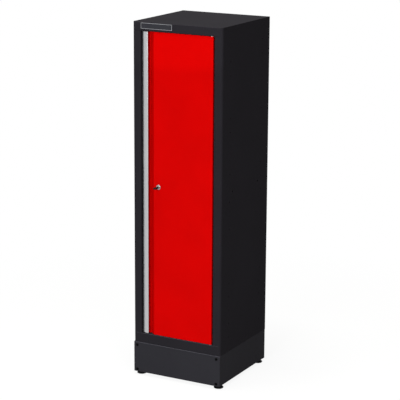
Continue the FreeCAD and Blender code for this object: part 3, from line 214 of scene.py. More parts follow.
class Shader:
    """A material's node tree, with short calls for the nodes that the finishes share."""

    def __init__(self, name, colour, roughness, metallic=0.0):
        self.material = bpy.data.materials.new(name)
        self.material.use_nodes = True
        self.tree = self.material.node_tree
        self.body = self.tree.nodes["Principled BSDF"]
        self.body.inputs["Base Color"].default_value = colour
        self.body.inputs["Roughness"].default_value = roughness
        self.body.inputs["Metallic"].default_value = metallic
        self.place = self.tree.nodes.new("ShaderNodeTexCoord").outputs["Object"]
        self.height = None

    def set(self, **sockets):
        for name, number in sockets.items():
            self.body.inputs[name.replace("_", " ")].default_value = number
        return self

    def link(self, output, socket):
        self.tree.links.new(output, socket)

    def stretched(self, x, y, z):
        mapping = self.tree.nodes.new("ShaderNodeMapping")
        mapping.inputs["Scale"].default_value = (x, y, z)
        self.link(self.place, mapping.inputs["Vector"])
        return mapping.outputs["Vector"]

    def noise(self, scale, detail=2.0, vector=None):
        node = self.tree.nodes.new("ShaderNodeTexNoise")
        node.inputs["Scale"].default_value = scale
        node.inputs["Detail"].default_value = detail
        self.link(vector or self.place, node.inputs["Vector"])
        return node.outputs["Fac"]

    def ranged(self, value, low, high, from_low=0.35, from_high=0.65):
        node = self.tree.nodes.new("ShaderNodeMapRange")
        limits = {"From Min": from_low, "From Max": from_high, "To Min": low, "To Max": high}
        for socket, number in limits.items():
            node.inputs[socket].default_value = number
        self.link(value, node.inputs["Value"])
        return node.outputs["Result"]

    def vary_colour(self, fac, first, second):
        node = self.tree.nodes.new("ShaderNodeMix")
        node.data_type = "RGBA"
        node.inputs["A"].default_value = first
        node.inputs["B"].default_value = second
        self.link(fac, node.inputs["Factor"])
        self.link(node.outputs["Result"], self.body.inputs["Base Color"])
        return self

    def mottle(self, fac, colour, spread):
        """Lets the colour go darker and lighter by that share."""
        dark, light = tinted(colour, 1 - spread), tinted(colour, 1 + spread)
        return self.vary_colour(self.ranged(fac, 0, 1), dark, light)

    def paint_fold_highlight(self, height, front, colour):
        """Paints a highlight: mixes in a lighter colour along the front fold at that height, standing in
        for the light that the fold catches.
        """
        split = self.tree.nodes.new("ShaderNodeSeparateXYZ")
        self.link(self.place, split.inputs[0])
        soft = FOLD_REACH / 3
        near_top = self.ranged(split.outputs["Z"], 0, 1, height - FOLD_REACH, height - soft)
        near_front = self.ranged(split.outputs["Y"], 1, 0, front + soft, front + FOLD_REACH)
        both = self.tree.nodes.new("ShaderNodeMath")
        both.operation = "MULTIPLY"
        self.link(near_top, both.inputs[0])
        self.link(near_front, both.inputs[1])
        paint = self.body.inputs["Base Color"].links[0].from_socket
        self.vary_colour(both.outputs["Value"], colour, colour)
        self.link(paint, self.body.inputs["Base Color"].links[0].from_node.inputs["A"])

    def vary_roughness(self, fac, low, high):
        self.link(self.ranged(fac, low, high), self.body.inputs["Roughness"])
        return self

    def bump(self, fac, distance, strength=1.0):
        node = self.tree.nodes.new("ShaderNodeBump")
        node.inputs["Strength"].default_value = strength
        node.inputs["Distance"].default_value = distance
        self.link(fac, node.inputs["Height"])
        if self.height:
            self.link(self.height, node.inputs["Normal"])
        self.height = node.outputs["Normal"]
        self.link(self.height, self.body.inputs["Normal"])
        return self


def tinted(colour, factor):
    return (*(min(channel * factor, 1) for channel in colour[:3]), 1)


def powder_coat(name, colour, gloss, pebble=0.00003, fold=None):
    """Baked powder: pebbled like orange peel about a millimetre across, a little uneven in tone. fold is
    the height and the front of a fold along which a painted highlight lightens the colour."""
    paint = Shader(name, colour, 0.55)
    paint.set(Specular_IOR_Level=0.0, Coat_Weight=gloss, Coat_Roughness=0.22)
    paint.mottle(paint.noise(5.0, 4.0), colour, 0.035)
    # The fold gets a painted highlight: a lighter strip where the fold would catch the light.
    if fold is not None:
        paint.paint_fold_highlight(*fold, tinted(colour, FOLD_HIGHLIGHT_GAIN))
    paint.vary_roughness(paint.noise(60.0, 3.0), 0.48, 0.62)
    paint.bump(paint.noise(900.0, 1.0), pebble, 0.5)
    return paint.material


def anodised(name, colour):
    """Drawn aluminium: fine die lines along the profile under a satin anodised skin."""
    metal = Shader(name, colour, 0.34, 1.0)
    lines = metal.noise(1.0, 3.0, metal.stretched(2600, 2600, 5))
    metal.mottle(lines, colour, 0.05)
    metal.vary_roughness(metal.noise(1.0, 2.0, metal.stretched(900, 900, 3)), 0.28, 0.42)
    metal.bump(lines, 0.00001, 0.4)
    return metal.material


def plated(name, colour, roughness=0.3, spangle=0.06):
    """Bright plating with the faint cloudiness of a barrel-plated part."""
    metal = Shader(name, colour, roughness, 1.0)
    metal.mottle(metal.noise(220.0, 4.0), colour, spangle)
    metal.vary_roughness(metal.noise(500.0, 2.0), roughness * 0.8, roughness * 1.3)
    metal.bump(metal.noise(2500.0, 1.0), 0.000006, 0.5)
    return metal.material


def moulded(name, colour, roughness=0.5, specular=0.25):
    """Moulded plastic with a fine spark-eroded grain."""
    plastic = Shader(name, colour, roughness).set(Specular_IOR_Level=specular)
    grain = plastic.noise(1800.0, 2.0)
    plastic.mottle(plastic.noise(40.0, 3.0), colour, 0.15)
    plastic.vary_roughness(grain, roughness * 0.85, roughness * 1.15)
    plastic.bump(grain, 0.00003, 0.5)
    return plastic.material


def make_materials(paints):
    sill = (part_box("bottom_panel")[1].z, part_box("bottom_panel")[0].y)
    ledge = (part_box("plinth_front")[1].z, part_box("plinth_front")[0].y)
    return {
        "charcoal_paint": powder_coat("charcoal_powder_coat", paints.charcoal, 0.024),
        # The two paints with a fold carry a painted highlight: a lighter strip along the sill's fold and
        # the plinth's top fold.
        "charcoal_fold_painted_highlight": powder_coat("charcoal_powder_coat_painted_highlight", paints.charcoal, 0.024, fold=sill),
        "plinth_paint": powder_coat("plinth_powder_coat", paints.plinth, 0.044),
        "plinth_fold": powder_coat("plinth_powder_coat_painted_highlight", paints.plinth, 0.044, fold=ledge),
        "grey_paint": powder_coat("shelf_powder_coat", (0.045, 0.045, 0.052, 1), 0.08),
        "red_paint": powder_coat("red_powder_coat", paints.red, 0.025, 0.00002),
        "silver_profile": anodised("anodised_profile", paints.silver),
        "badge_blank": powder_coat("blank_plate", (0.028, 0.028, 0.033, 1), 0.1),
        "badge_edge": plated("bright_rim", (0.36, 0.365, 0.38, 1), 0.3, 0.02),
        "zinc": plated("zinc_plating", paints.zinc, 0.34),
        "black_oxide": moulded("black_oxide", (0.003, 0.003, 0.0032, 1), 0.6, 0.02),
        "chrome_lock": plated("polished_chrome", (0.29, 0.285, 0.29, 1), 0.36, 0.02),
        "brass_plug": plated("nickel_silver", (0.58, 0.55, 0.48, 1), 0.25, 0.04),
        "nylon_black": moulded("black_nylon", paints.black, 0.6, 0.1),
        "acetal_white": moulded("white_acetal", (0.62, 0.61, 0.58, 1), 0.4, 0.4),
        "rubber": moulded("black_rubber", (0.010, 0.010, 0.010, 1), 0.75, 0.2),
        "key_head": moulded("black_key_head", paints.black, 0.55, 0.1),
    }


materials = {}


def finish(piece, slot):
    piece.data.materials.clear()
    piece.data.materials.append(materials[slot])


# ---------------------------------------------------------------------------------------------------------
# Meshes read from the CAD nodes


def linked(name, mesh):
    piece = bpy.data.objects.new(name, mesh)
    bpy.context.scene.collection.objects.link(piece)
    return piece


def merged(node):
    """A copy of a node's mesh with its corners joined and its flat faces whole, as a bmesh."""
    form = bmesh.new()
    form.from_mesh(nodes[node].data)
    bmesh.ops.remove_doubles(form, verts=form.verts, dist=SAME)
    bmesh.ops.dissolve_limit(form, angle_limit=FLAT, verts=form.verts, edges=form.edges)
    return form


def solids(node):
    """The lowest and the highest corner of each separate solid in a node."""
    form = merged(node)
    seen = set()
    boxes = []
    for start in form.verts:
        if start in seen:
            continue
        seen.add(start)
        waiting = [start]
        island = []
        while waiting:
            vert = waiting.pop()
            island.append(vert.co.copy())
            near = [edge.other_vert(vert) for edge in vert.link_edges]
            waiting.extend(other for other in near if other not in seen)
            seen.update(near)
        low = Vector(min(place[axis] for place in island) for axis in range(3))
        high = Vector(max(place[axis] for place in island) for axis in range(3))
        boxes.append((low, high))
    form.free()
    return boxes


def settled(piece):
    """Applies the piece's modifiers, so that it is a plain mesh."""
    graph = bpy.context.evaluated_depsgraph_get()
    mesh = bpy.data.meshes.new_from_object(piece.evaluated_get(graph), depsgraph=graph)
    piece.modifiers.clear()
    piece.data = mesh
    return piece


def stands_for(piece, *names):
    """Gives a piece the finish and the body of the CAD nodes that it stands for."""
    finish(piece, slots[names[0]])
    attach(piece, nodes[names[0]]["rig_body"])
    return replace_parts(piece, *names)


def softened(node, width, rounds=()):
    """A copy of a node that stands for it, with its cut edges rounded, or only those that rounds picks
    where width is 0. rounds holds pairs of a test for an edge and its radius."""
    form = merged(node)
    for picks, radius in rounds:
        edges = [edge for edge in form.edges if picks(edge)]
        bmesh.ops.bevel(form, geom=edges, offset=radius, segments=4, profile=0.5, affect="EDGES")
    mesh = bpy.data.meshes.new(node + "_soft")
    form.to_mesh(mesh)
    form.free()
    mesh.shade_smooth()
    piece = linked(node + "_soft", mesh)
    if width:
        bevel = piece.modifiers.new("rounding", "BEVEL")
        bevel.limit_method = "ANGLE"
        bevel.angle_limit = CREASE
        bevel.width = width
        bevel.segments = 2
        bevel.use_clamp_overlap = False
    else:
        mesh.set_sharp_from_angle(angle=CREASE)
    shading = piece.modifiers.new("shading", "WEIGHTED_NORMAL")
    shading.keep_sharp = True
    return stands_for(settled(piece), node)


# ---------------------------------------------------------------------------------------------------------
# Turned pieces, made by geometry nodes: an outline swept round an axis, with one copy at each place


class NodeTree:
    """A geometry node tree with named inputs, and short calls for its nodes and links."""

    def __init__(self, name):
        self.tree = bpy.data.node_groups.new(name, "GeometryNodeTree")
        self.tree.interface.new_socket("Geometry", in_out="OUTPUT", socket_type="NodeSocketGeometry")
        self.socket("Places", "NodeSocketGeometry")
        for size in ("Radius", "Height", "Flats", "Key", "Key Depth"):
            self.socket(size, "NodeSocketFloat")
        self.socket("Sides", "NodeSocketInt")
        self.socket("Finish", "NodeSocketMaterial")
        self.given = self.add("NodeGroupInput").outputs

    def socket(self, name, kind):
        self.tree.interface.new_socket(name, in_out="INPUT", socket_type=kind)

    def add(self, kind, inputs=None, **settings):
        node = self.tree.nodes.new(kind)
        for name, value in settings.items():
            setattr(node, name, value)
        for name, value in (inputs or {}).items():
            self.feed(value, node.inputs[name])
        return node

    def feed(self, value, socket):
        if isinstance(value, bpy.types.NodeSocket):
            self.tree.links.new(value, socket)
        else:
            socket.default_value = value

    def math(self, operation, first, second=0.0):
        return self.add("ShaderNodeMath", {0: first, 1: second}, operation=operation).outputs[0]

    def curve(self, along, shares, rings):
        """A curve that gives one share after the other as along goes up by one ring."""
        node = self.add("ShaderNodeFloatCurve", {"Value": along})
        line = node.mapping.curves[0]
        line.points[0].location = (0, shares[0])
        line.points[1].location = (1, shares[-1])
        for ring in range(1, min(len(shares), rings)):
            line.points.new(ring / rings, shares[ring])
        for point in line.points:
            point.handle_type = "VECTOR"
        node.mapping.update()
        return node.outputs["Value"]


def hexagon_reach(tree, x, y):
    """Distance from the axis to a hexagon's side towards x and y. Two of its corners lie on the X axis."""
    sixth = math.pi / 3
    angle = tree.math("FLOORED_MODULO", tree.math("ARCTAN2", y, x), sixth)
    within = tree.math("SUBTRACT", angle, sixth / 2)
    half = tree.math("MULTIPLY", tree.given["Flats"], 0.5)
    return tree.math("DIVIDE", half, tree.math("COSINE", within))


def turned_tree(name, outline, bored, key_sides):
    """outline holds shares of the radius and the height. A bored piece's outline comes back to its start.
    key_sides is the number of sides of the socket in its end, or 0."""
    tree = NodeTree(name)
    rings = next(count for count in (16, 64, 128) if count >= len(outline) - 1)
    blank = tree.add(
        "GeometryNodeMeshCylinder",
        {"Vertices": tree.given["Sides"], "Side Segments": len(outline) - 1, "Radius": 1.0, "Depth": 1.0},
        fill_type="NONE" if bored else "NGON",
    )
    position = tree.add("GeometryNodeInputPosition").outputs[0]
    place = tree.add("ShaderNodeSeparateXYZ", {0: position}).outputs
    along = tree.math("MULTIPLY", tree.math("ADD", place["Z"], 0.5), (len(outline) - 1) / rings)
    reach = tree.math("MULTIPLY", tree.curve(along, [r for r, h in outline], rings), tree.given["Radius"])
    reach = tree.math("MINIMUM", reach, hexagon_reach(tree, place["X"], place["Y"]))
    level = tree.math("MULTIPLY", tree.curve(along, [h for r, h in outline], rings), tree.given["Height"])
    x = tree.math("MULTIPLY", place["X"], reach)
    y = tree.math("MULTIPLY", place["Y"], reach)
    goal = tree.add("ShaderNodeCombineXYZ", {"X": x, "Y": y, "Z": level})
    blank_mesh = blank.outputs["Mesh"]
    form = tree.add("GeometryNodeSetPosition", {"Geometry": blank_mesh, "Position": goal.outputs[0]})
    master = form.outputs[0]
    if bored:
        whole_ring = tree.add("GeometryNodeMergeByDistance", {"Geometry": master, "Distance": SAME})
        master = whole_ring.outputs[0]
    if key_sides:
        master = keyed(tree, master, key_sides)
    turn = tree.add("GeometryNodeInputNamedAttribute", {"Name": "turn"}, data_type="FLOAT_VECTOR")
    rotation = tree.add("FunctionNodeEulerToRotation", {"Euler": turn.outputs["Attribute"]})
    copies = tree.add(
        "GeometryNodeInstanceOnPoints",
        {"Points": tree.given["Places"], "Instance": master, "Rotation": rotation.outputs[0]},
    )
    whole = tree.add("GeometryNodeRealizeInstances", {"Geometry": copies.outputs[0]})
    paint = tree.given["Finish"]
    painted = tree.add("GeometryNodeSetMaterial", {"Geometry": whole.outputs[0], "Material": paint})
    result = tree.add("NodeGroupOutput")
    tree.feed(painted.outputs[0], result.inputs["Geometry"])
    return tree.tree


def keyed(tree, master, sides):
    """Cuts the socket for a key into the piece's top: a prism with six sides, or two slots that cross."""
    depth = tree.given["Key Depth"]
    lift = tree.add("ShaderNodeCombineXYZ", {"Z": tree.given["Height"]}).outputs[0]
    twice = tree.math("MULTIPLY", depth, 2.0)
    cut = tree.add("GeometryNodeMeshBoolean", {"Mesh 1": master}, operation="DIFFERENCE", solver="EXACT")
    if sides == 6:
        corner = tree.math("DIVIDE", tree.given["Key"], math.sqrt(3))
        size = {"Vertices": sides, "Radius": corner, "Depth": twice}
        cutters = [tree.add("GeometryNodeMeshCylinder", size)]
    else:
        slot = tree.math("MULTIPLY", tree.given["Key"], SLOT_SHARE)
        cutters = []
        for x, y in ((tree.given["Key"], slot), (slot, tree.given["Key"])):
            size = tree.add("ShaderNodeCombineXYZ", {"X": x, "Y": y, "Z": twice}).outputs[0]
            cutters.append(tree.add("GeometryNodeMeshCube", {"Size": size}))
    for cutter in cutters:
        lifted = tree.add("GeometryNodeTransform", {"Geometry": cutter.outputs[0], "Translation": lift})
        tree.feed(lifted.outputs[0], cut.inputs["Mesh 2"])
    return cut.outputs["Mesh"]


def turned(name, node, outline, places, turn=UP, sides=24, flats=1.0, bored=False, key=None):
    """Copies of a turned piece in metres, at places, each turned by its own angles or all by the same.
    key holds the number of sides, the width and the depth of the socket in its end."""
    radius = max(r for r, h in outline)
    height = max(h for r, h in outline)
    key_sides, key_width, key_depth = key or (0, 0.0, 0.0)
    sizes = {
        "Radius": radius, "Height": height, "Flats": flats, "Sides": sides,
        "Key": key_width, "Key Depth": key_depth, "Finish": materials[slots[node]],
    }
    tree = turned_tree(name, [(r / radius, h / height) for r, h in outline], bored, key_sides)
    mesh = bpy.data.meshes.new(name)
    mesh.from_pydata(places, [], [])
    turns = turn if isinstance(turn, list) else [turn] * len(places)
    mesh.attributes.new("turn", "FLOAT_VECTOR", "POINT")
    for index, angles in enumerate(turns):
        mesh.attributes["turn"].data[index].vector = angles
    piece = linked(name, mesh)
    copies = piece.modifiers.new("copies", "NODES")
    copies.node_group = tree
    for socket in tree.interface.items_tree:
        if socket.name in sizes:
            copies[socket.identifier] = sizes[socket.name]
    settled(piece)
    piece.data.shade_smooth()
    piece.data.set_sharp_from_angle(angle=CREASE)
    return piece


def joined(name, *pieces):
    """One piece out of several."""
    form = bmesh.new()
    for piece in pieces:
        form.from_mesh(piece.data)
        bpy.data.objects.remove(piece)
    mesh = bpy.data.meshes.new(name)
    form.to_mesh(mesh)
    form.free()
    return linked(name, mesh)


def crown(radius, base, edge, height, flat=0.3, steps=6):
    """The outline of a domed head, from under its edge to the small flat on its top."""
    last = math.acos(flat)
    points = [(radius * 0.97, base), (radius, base + edge / 2)]
    for step in range(steps + 1):
        angle = last * step / steps
        rise = (height - edge) * math.sin(angle) / math.sin(last)
        points.append((radius * math.cos(angle), base + edge + rise))
    return points


def thread(radius, start, end, pitch, depth):
    """The outline of a thread between two heights, with its first and last turns cut back."""
    count = max(2, round((end - start) / pitch))
    step = (end - start) / count
    points = [(radius - depth, start)]
    for turn in range(count):
        crest = radius - depth / 2 if turn in (0, count - 1) else radius
        points.append((crest, start + (turn + 0.5) * step))
        points.append((radius - depth, start + (turn + 1) * step))
    return points


def chamfered(flats, start, end, bore=None):
    """The outline of a hexagon head or nut whose corners are turned off at 30 degrees."""
    flat = flats / 2
    corner = flats / math.sqrt(3)
    slope = math.tan(math.radians(30))
    inner = flat * 0.95
    width = corner - inner
    down = [(inner + width * share, width * share * slope) for share in (0, 0.35, 0.7, 1)]
    points = [(r, start + h) for r, h in down] + [(r, end - h) for r, h in reversed(down)]
    if bore is None:
        return points
    return [(bore, start)] + points + [(bore, end), (bore, start)]


# ---------------------------------------------------------------------------------------------------------
# Pieces


class LOCKER_OT_finishes(Operator):
    """Make the materials and put them on every CAD node"""

    bl_idname = "locker.finishes"
    bl_label = "Finishes"

    def execute(self, context):
        materials.update(make_materials(context.scene.locker_paints))
        for node, slot in slots.items():
            for place in nodes[node].material_slots:
                place.material = materials[slot]
        # The bottom panel takes the paint with the painted highlight along its sill fold.
        nodes["bottom_panel"].material_slots[0].material = materials["charcoal_fold_painted_highlight"]
        return {"FINISHED"}


class LOCKER_OT_plinth(Operator):
    """Plinth, with rounder folds along its top and bottom and a painted highlight along its top fold"""

    bl_idname = "locker.plinth"
    bl_label = "Plinth"

    def execute(self, context):
        trim = context.scene.locker_trim
        for node, outside in (("plinth_front", 0), ("plinth_back", 1)):
            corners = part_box(node)
            face = corners[outside].y

            def folded(edge):
                ends = [vert.co for vert in edge.verts]
                level = any(all(abs(end.z - corner.z) < NEAR for end in ends) for corner in corners)
                return level and all(abs(end.y - face) < NEAR for end in ends)

            piece = softened(node, 0, [(folded, trim.plinth_round)])
            # The plinth's paint here carries a painted highlight along its top fold.
            piece.data.materials[0] = materials["plinth_fold"]
        return {"FINISHED"}


class LOCKER_OT_badge(Operator):
    """Blank plate with its thin bright rim"""

    bl_idname = "locker.badge"
    bl_label = "Badge plate"

    def execute(self, context):
        trim = context.scene.locker_trim
        softened("badge_rim", trim.fine_edge)
        softened("badge_plate", trim.fine_edge)
        return {"FINISHED"}


class LOCKER_OT_grip(Operator):
    """Silver grip profile and its end caps"""

    bl_idname = "locker.grip"
    bl_label = "Grip"

    def execute(self, context):
        trim = context.scene.locker_trim
        softened("grip_profile", trim.fine_edge)
        softened("grip_caps", trim.fine_edge)
        return {"FINISHED"}


class LOCKER_OT_lock(Operator):
    """Lock with its domed face and threaded body, its nut, gear case and pinion"""

    bl_idname = "locker.lock"
    bl_label = "Lock"

    def execute(self, context):
        trim = context.scene.locker_trim
        low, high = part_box("lock_barrel")
        x, z = middle("lock_barrel").x, middle("lock_barrel").z
        bore = bore_round("lock_plug")
        neck = high.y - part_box("door_panel")[0].y
        length = high.y - low.y
        body = trim.barrel / 2
        face = (high.x - low.x) / 2
        rim = [(0.96, 0), (1, 0.1), (0.995, 0.3), (0.96, 0.55), (0.89, 0.78)]
        rim += [(0.78, 0.93), (0.66, 1), (0.52, 0.98)]
        outline = [(bore, 0), (body - trim.thread_depth, 0)]
        outline += thread(body, 0.2 * MM, neck - 0.5 * MM, trim.fine_pitch, trim.fine_pitch * 0.45)
        outline += [(face * share, neck + (length - neck) * rise) for share, rise in rim]
        outline += [(bore, length - 0.35 * MM), (bore, 0)]
        barrel = turned("lock_face", "lock_barrel", outline, [(x, high.y, z)], TO_FRONT, 64, bored=True)
        stands_for(barrel, "lock_barrel")
        for node in ("lock_plug", "lock_pinion", "lock_case", "lock_case_cover"):
            softened(node, trim.fine_edge)
        low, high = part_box("lock_nut")
        flats = trim.barrel_nut
        outline = chamfered(flats, 0, high.y - low.y, body)
        place = [(x, high.y, z)]
        nut = turned("lock_ring_nut", "lock_nut", outline, place, TO_FRONT, flats=flats, bored=True)
        stands_for(nut, "lock_nut")
        return {"FINISHED"}


def bore_round(plug):
    """Radius of the bore that is just clear of a plug."""
    low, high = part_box(plug)
    return (high.x - low.x) / 2 + RUNNING


class LOCKER_OT_key(Operator):
    """Key with a notched blade and a rounded black head"""

    bl_idname = "locker.key"
    bl_label = "Key"

    def execute(self, context):
        trim = context.scene.locker_trim
        low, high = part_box("key_bow")
        hole = ring_hole("key_bow", trim)

        def outer(edge):
            ends = [vert.co for vert in edge.verts]
            on_face = any(all(abs(end.z - corner.z) < NEAR for end in ends) for corner in (low, high))
            return on_face and all((end.xy - hole.xy).length > trim.key_ring * 0.6 for end in ends)

        def ring(edge):
            ends = [vert.co for vert in edge.verts]
            on_face = any(all(abs(end.z - corner.z) < NEAR for end in ends) for corner in (low, high))
            return on_face and all((end.xy - hole.xy).length < trim.key_ring * 0.6 for end in ends)

        softened("key_bow", trim.fine_edge, [(outer, trim.key_round), (ring, trim.key_round / 3)])
        key_blade(trim)
        return {"FINISHED"}


def ring_hole(node, trim):
    """Middle of the hole for a key ring, a hole's width behind the bow's outer end."""
    low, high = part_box(node)
    return Vector(((low.x + high.x) / 2, low.y + trim.key_ring, 0))


def key_blade(trim):
    """A flat blade with a point at its inner end and cuts along one side."""
    low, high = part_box("key_blade")
    depths = (0.22, 0.38, 0.12, 0.30, 0.18)
    width = high.x - low.x
    start = high.y - 2.2 * MM
    pitch = 1.9 * MM
    land = pitch * 0.35
    centre = middle("key_blade").x
    tip = width * 0.1
    cuts = []
    for index, depth in enumerate(depths):
        floor_x = high.x - width * depth
        floor_y = start - index * pitch
        cuts += [(floor_x, floor_y), (floor_x, floor_y - land)]
    outline = [(low.x, low.y), (high.x, low.y), (high.x, start - len(depths) * pitch)]
    outline += reversed(cuts)
    outline += [(high.x, start + pitch * 0.6), (centre + tip, high.y)]
    outline += [(centre - tip, high.y), (low.x, high.y - 1.6 * MM)]
    form = bmesh.new()
    face = form.faces.new([form.verts.new((x, y, low.z)) for x, y in outline])
    lifted = bmesh.ops.extrude_face_region(form, geom=[face])
    top = [item for item in lifted["geom"] if isinstance(item, bmesh.types.BMVert)]
    bmesh.ops.translate(form, verts=top, vec=(0, 0, high.z - low.z))
    bmesh.ops.recalc_face_normals(form, faces=form.faces)
    mesh = bpy.data.meshes.new("key_blade_cut")
    form.to_mesh(mesh)
    form.free()
    mesh.shade_smooth()
    mesh.set_sharp_from_angle(angle=CREASE)
    stands_for(linked("key_blade_cut", mesh), "key_blade")


class LOCKER_OT_pivots(Operator):
    """Pivot pins, bushes and washers of the door, guides and keepers of its rods"""

    bl_idname = "locker.pivots"
    bl_label = "Pivots and guides"

    def execute(self, context):
        trim = context.scene.locker_trim
        for end in ("lower", "upper"):
            for part in ("pivot_pin", "pivot_bush", "rod_guide"):
                softened(f"{end}_{part}", trim.fine_edge)
        softened("pivot_washers", trim.fine_edge)
        softened("rod_keepers", trim.fine_edge)
        return {"FINISHED"}


def rivet(node, turn, head):
    """A set blind rivet: domed head with the hollow of its drawn pin, shank and swollen tail."""
    boxes = solids(node)
    low, high = boxes[0]
    radius = (high.x - low.x) / 2
    length = high.y - low.y
    tail = radius * 0.7
    shank = radius / 2
    outline = [(tail * 0.7, 0), (tail, head * 0.3), (tail, head), (shank, head), (shank, length - head)]
    outline += crown(radius, length - head, head * 0.3, head, 0.36, 5)
    outline += [(radius * 0.3, length), (radius * 0.26, length - head * 0.7)]
    start = low.y if turn == TO_BACK else high.y
    places = [((near.x + far.x) / 2, start, (near.z + far.z) / 2) for near, far in boxes]
    return stands_for(turned(node + "_turned", node, outline, places, turn, 24), node)


class LOCKER_OT_fasteners(Operator):
    """Plinth screws, rivets, case screws, shelf pegs and door bumpers"""

    bl_idname = "locker.fasteners"
    bl_label = "Screws, rivets and pegs"

    def execute(self, context):
        trim = context.scene.locker_trim
        self.plinth_screws(trim)
        self.case_screws(trim)
        rivet("back_rivets", TO_BACK, trim.rivet_head)
        rivet("grip_rivets", TO_FRONT, trim.rivet_head)
        self.pegs(trim)
        self.bumpers()
        return {"FINISHED"}

    def plinth_screws(self, trim):
        boxes = solids("plinth_screws")
        low, high = boxes[0]
        radius = (high.x - low.x) / 2
        length = high.y - low.y
        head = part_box("plinth_front")[0].y - low.y
        seat = length - head
        outline = thread(trim.screw / 2, 0, seat, trim.coarse_pitch, trim.coarse_pitch * 0.5)
        outline += crown(radius, seat, head * 0.3, head, 0.52)
        places = [((near.x + far.x) / 2, far.y, (near.z + far.z) / 2) for near, far in boxes]
        key = (6, radius * 2 / 3, head * 0.6)
        piece = turned("plinth_screws_turned", "plinth_screws", outline, places, TO_FRONT, 36, key=key)
        stands_for(piece, "plinth_screws")

    def case_screws(self, trim):
        boxes = solids("lock_case_screws")
        low, high = boxes[0]
        radius = (high.x - low.x) / 2
        length = high.y - low.y
        head = high.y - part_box("lock_case_cover")[1].y
        seat = length - head
        outline = thread(radius * 0.53, 0, seat, trim.fine_pitch, trim.fine_pitch * 0.5)
        outline += crown(radius, seat, head * 0.25, head, 0.5, 4)
        places = [((near.x + far.x) / 2, near.y, (near.z + far.z) / 2) for near, far in boxes]
        key = (4, radius * 1.1, head * 0.6)
        piece = turned("lock_case_screws_turned", "lock_case_screws", outline, places, TO_BACK, key=key)
        stands_for(piece, "lock_case_screws")

    def pegs(self, trim):
        boxes = solids("shelf_pegs")
        low, high = boxes[0]
        collar = (high.z - low.z) / 2
        length = high.x - low.x
        wall = trim.sheet - 0.1 * MM
        pin = trim.peg / 2
        hole = pin - 0.6 * MM
        outline = [(hole * 0.85, 0), (hole, 0.3 * MM), (hole, wall), (collar - 0.3 * MM, wall)]
        outline += [(collar, wall + 0.3 * MM), (collar, wall + 1.2 * MM)]
        outline += [(collar - 0.3 * MM, wall + 1.5 * MM), (pin + 0.3 * MM, wall + 1.5 * MM)]
        outline += [(pin, wall + 1.8 * MM), (pin, length - 1.2 * MM)]
        outline += [(pin - 0.35 * MM, length - 0.5 * MM), (pin - 1.2 * MM, length)]
        places = []
        turns = []
        for near, far in boxes:
            on_left = near.x + far.x < 0
            places.append((near.x if on_left else far.x, (near.y + far.y) / 2, (near.z + far.z) / 2))
            turns.append(TO_RIGHT if on_left else TO_LEFT)
        stands_for(turned("shelf_pegs_turned", "shelf_pegs", outline, places, turns), "shelf_pegs")

    def bumpers(self):
        boxes = solids("door_bumpers")
        low, high = boxes[0]
        radius = (high.x - low.x) / 2
        thick = high.y - low.y
        places = [((near.x + far.x) / 2, far.y, (near.z + far.z) / 2) for near, far in boxes]
        outline = crown(radius, 0, thick * 0.4, thick)
        piece = turned("door_bumpers_turned", "door_bumpers", outline, places, TO_FRONT)
        stands_for(piece, "door_bumpers")


def tall(box):
    return box[1].z - box[0].z > TALLEST_NUT


class LOCKER_OT_bolts(Operator):
    """Bolts and nuts between the plinth and the cabinet, and the nuts of the feet"""

    bl_idname = "locker.bolts"
    bl_label = "Bolts and nuts"

    def execute(self, context):
        trim = context.scene.locker_trim
        boxes = solids("joining_bolts")
        bolts = [box for box in boxes if tall(box)]
        nuts = [box for box in boxes if not tall(box)]
        low, high = bolts[0]
        length = high.z - low.z
        flats = trim.bolt_flats
        shank = trim.bolt / 2
        seat = length - trim.bolt_head
        outline = thread(shank, 0, seat - 0.5 * MM, trim.coarse_pitch, trim.coarse_pitch * 0.5)
        outline += [(shank, seat)] + chamfered(flats, seat, length)
        places = [((near.x + far.x) / 2, (near.y + far.y) / 2, near.z) for near, far in bolts]
        heads = turned("bolt_copies", "joining_bolts", outline, places, flats=flats)
        low, high = nuts[0]
        places = [((near.x + far.x) / 2, (near.y + far.y) / 2, near.z) for near, far in nuts]
        outline = chamfered(flats, 0, high.z - low.z, shank)
        rings = turned("nut_copies", "joining_bolts", outline, places, flats=flats, bored=True)
        stands_for(joined("joining_bolts_turned", heads, rings), "joining_bolts")
        boxes = solids("foot_nuts")
        low, high = boxes[0]
        flats = trim.foot_nut_flats
        outline = chamfered(flats, 0, high.z - low.z, trim.stud / 2 + RUNNING)
        places = [((near.x + far.x) / 2, (near.y + far.y) / 2, near.z) for near, far in boxes]
        piece = turned("foot_nuts_turned", "foot_nuts", outline, places, flats=flats, bored=True)
        stands_for(piece, "foot_nuts")
        return {"FINISHED"}


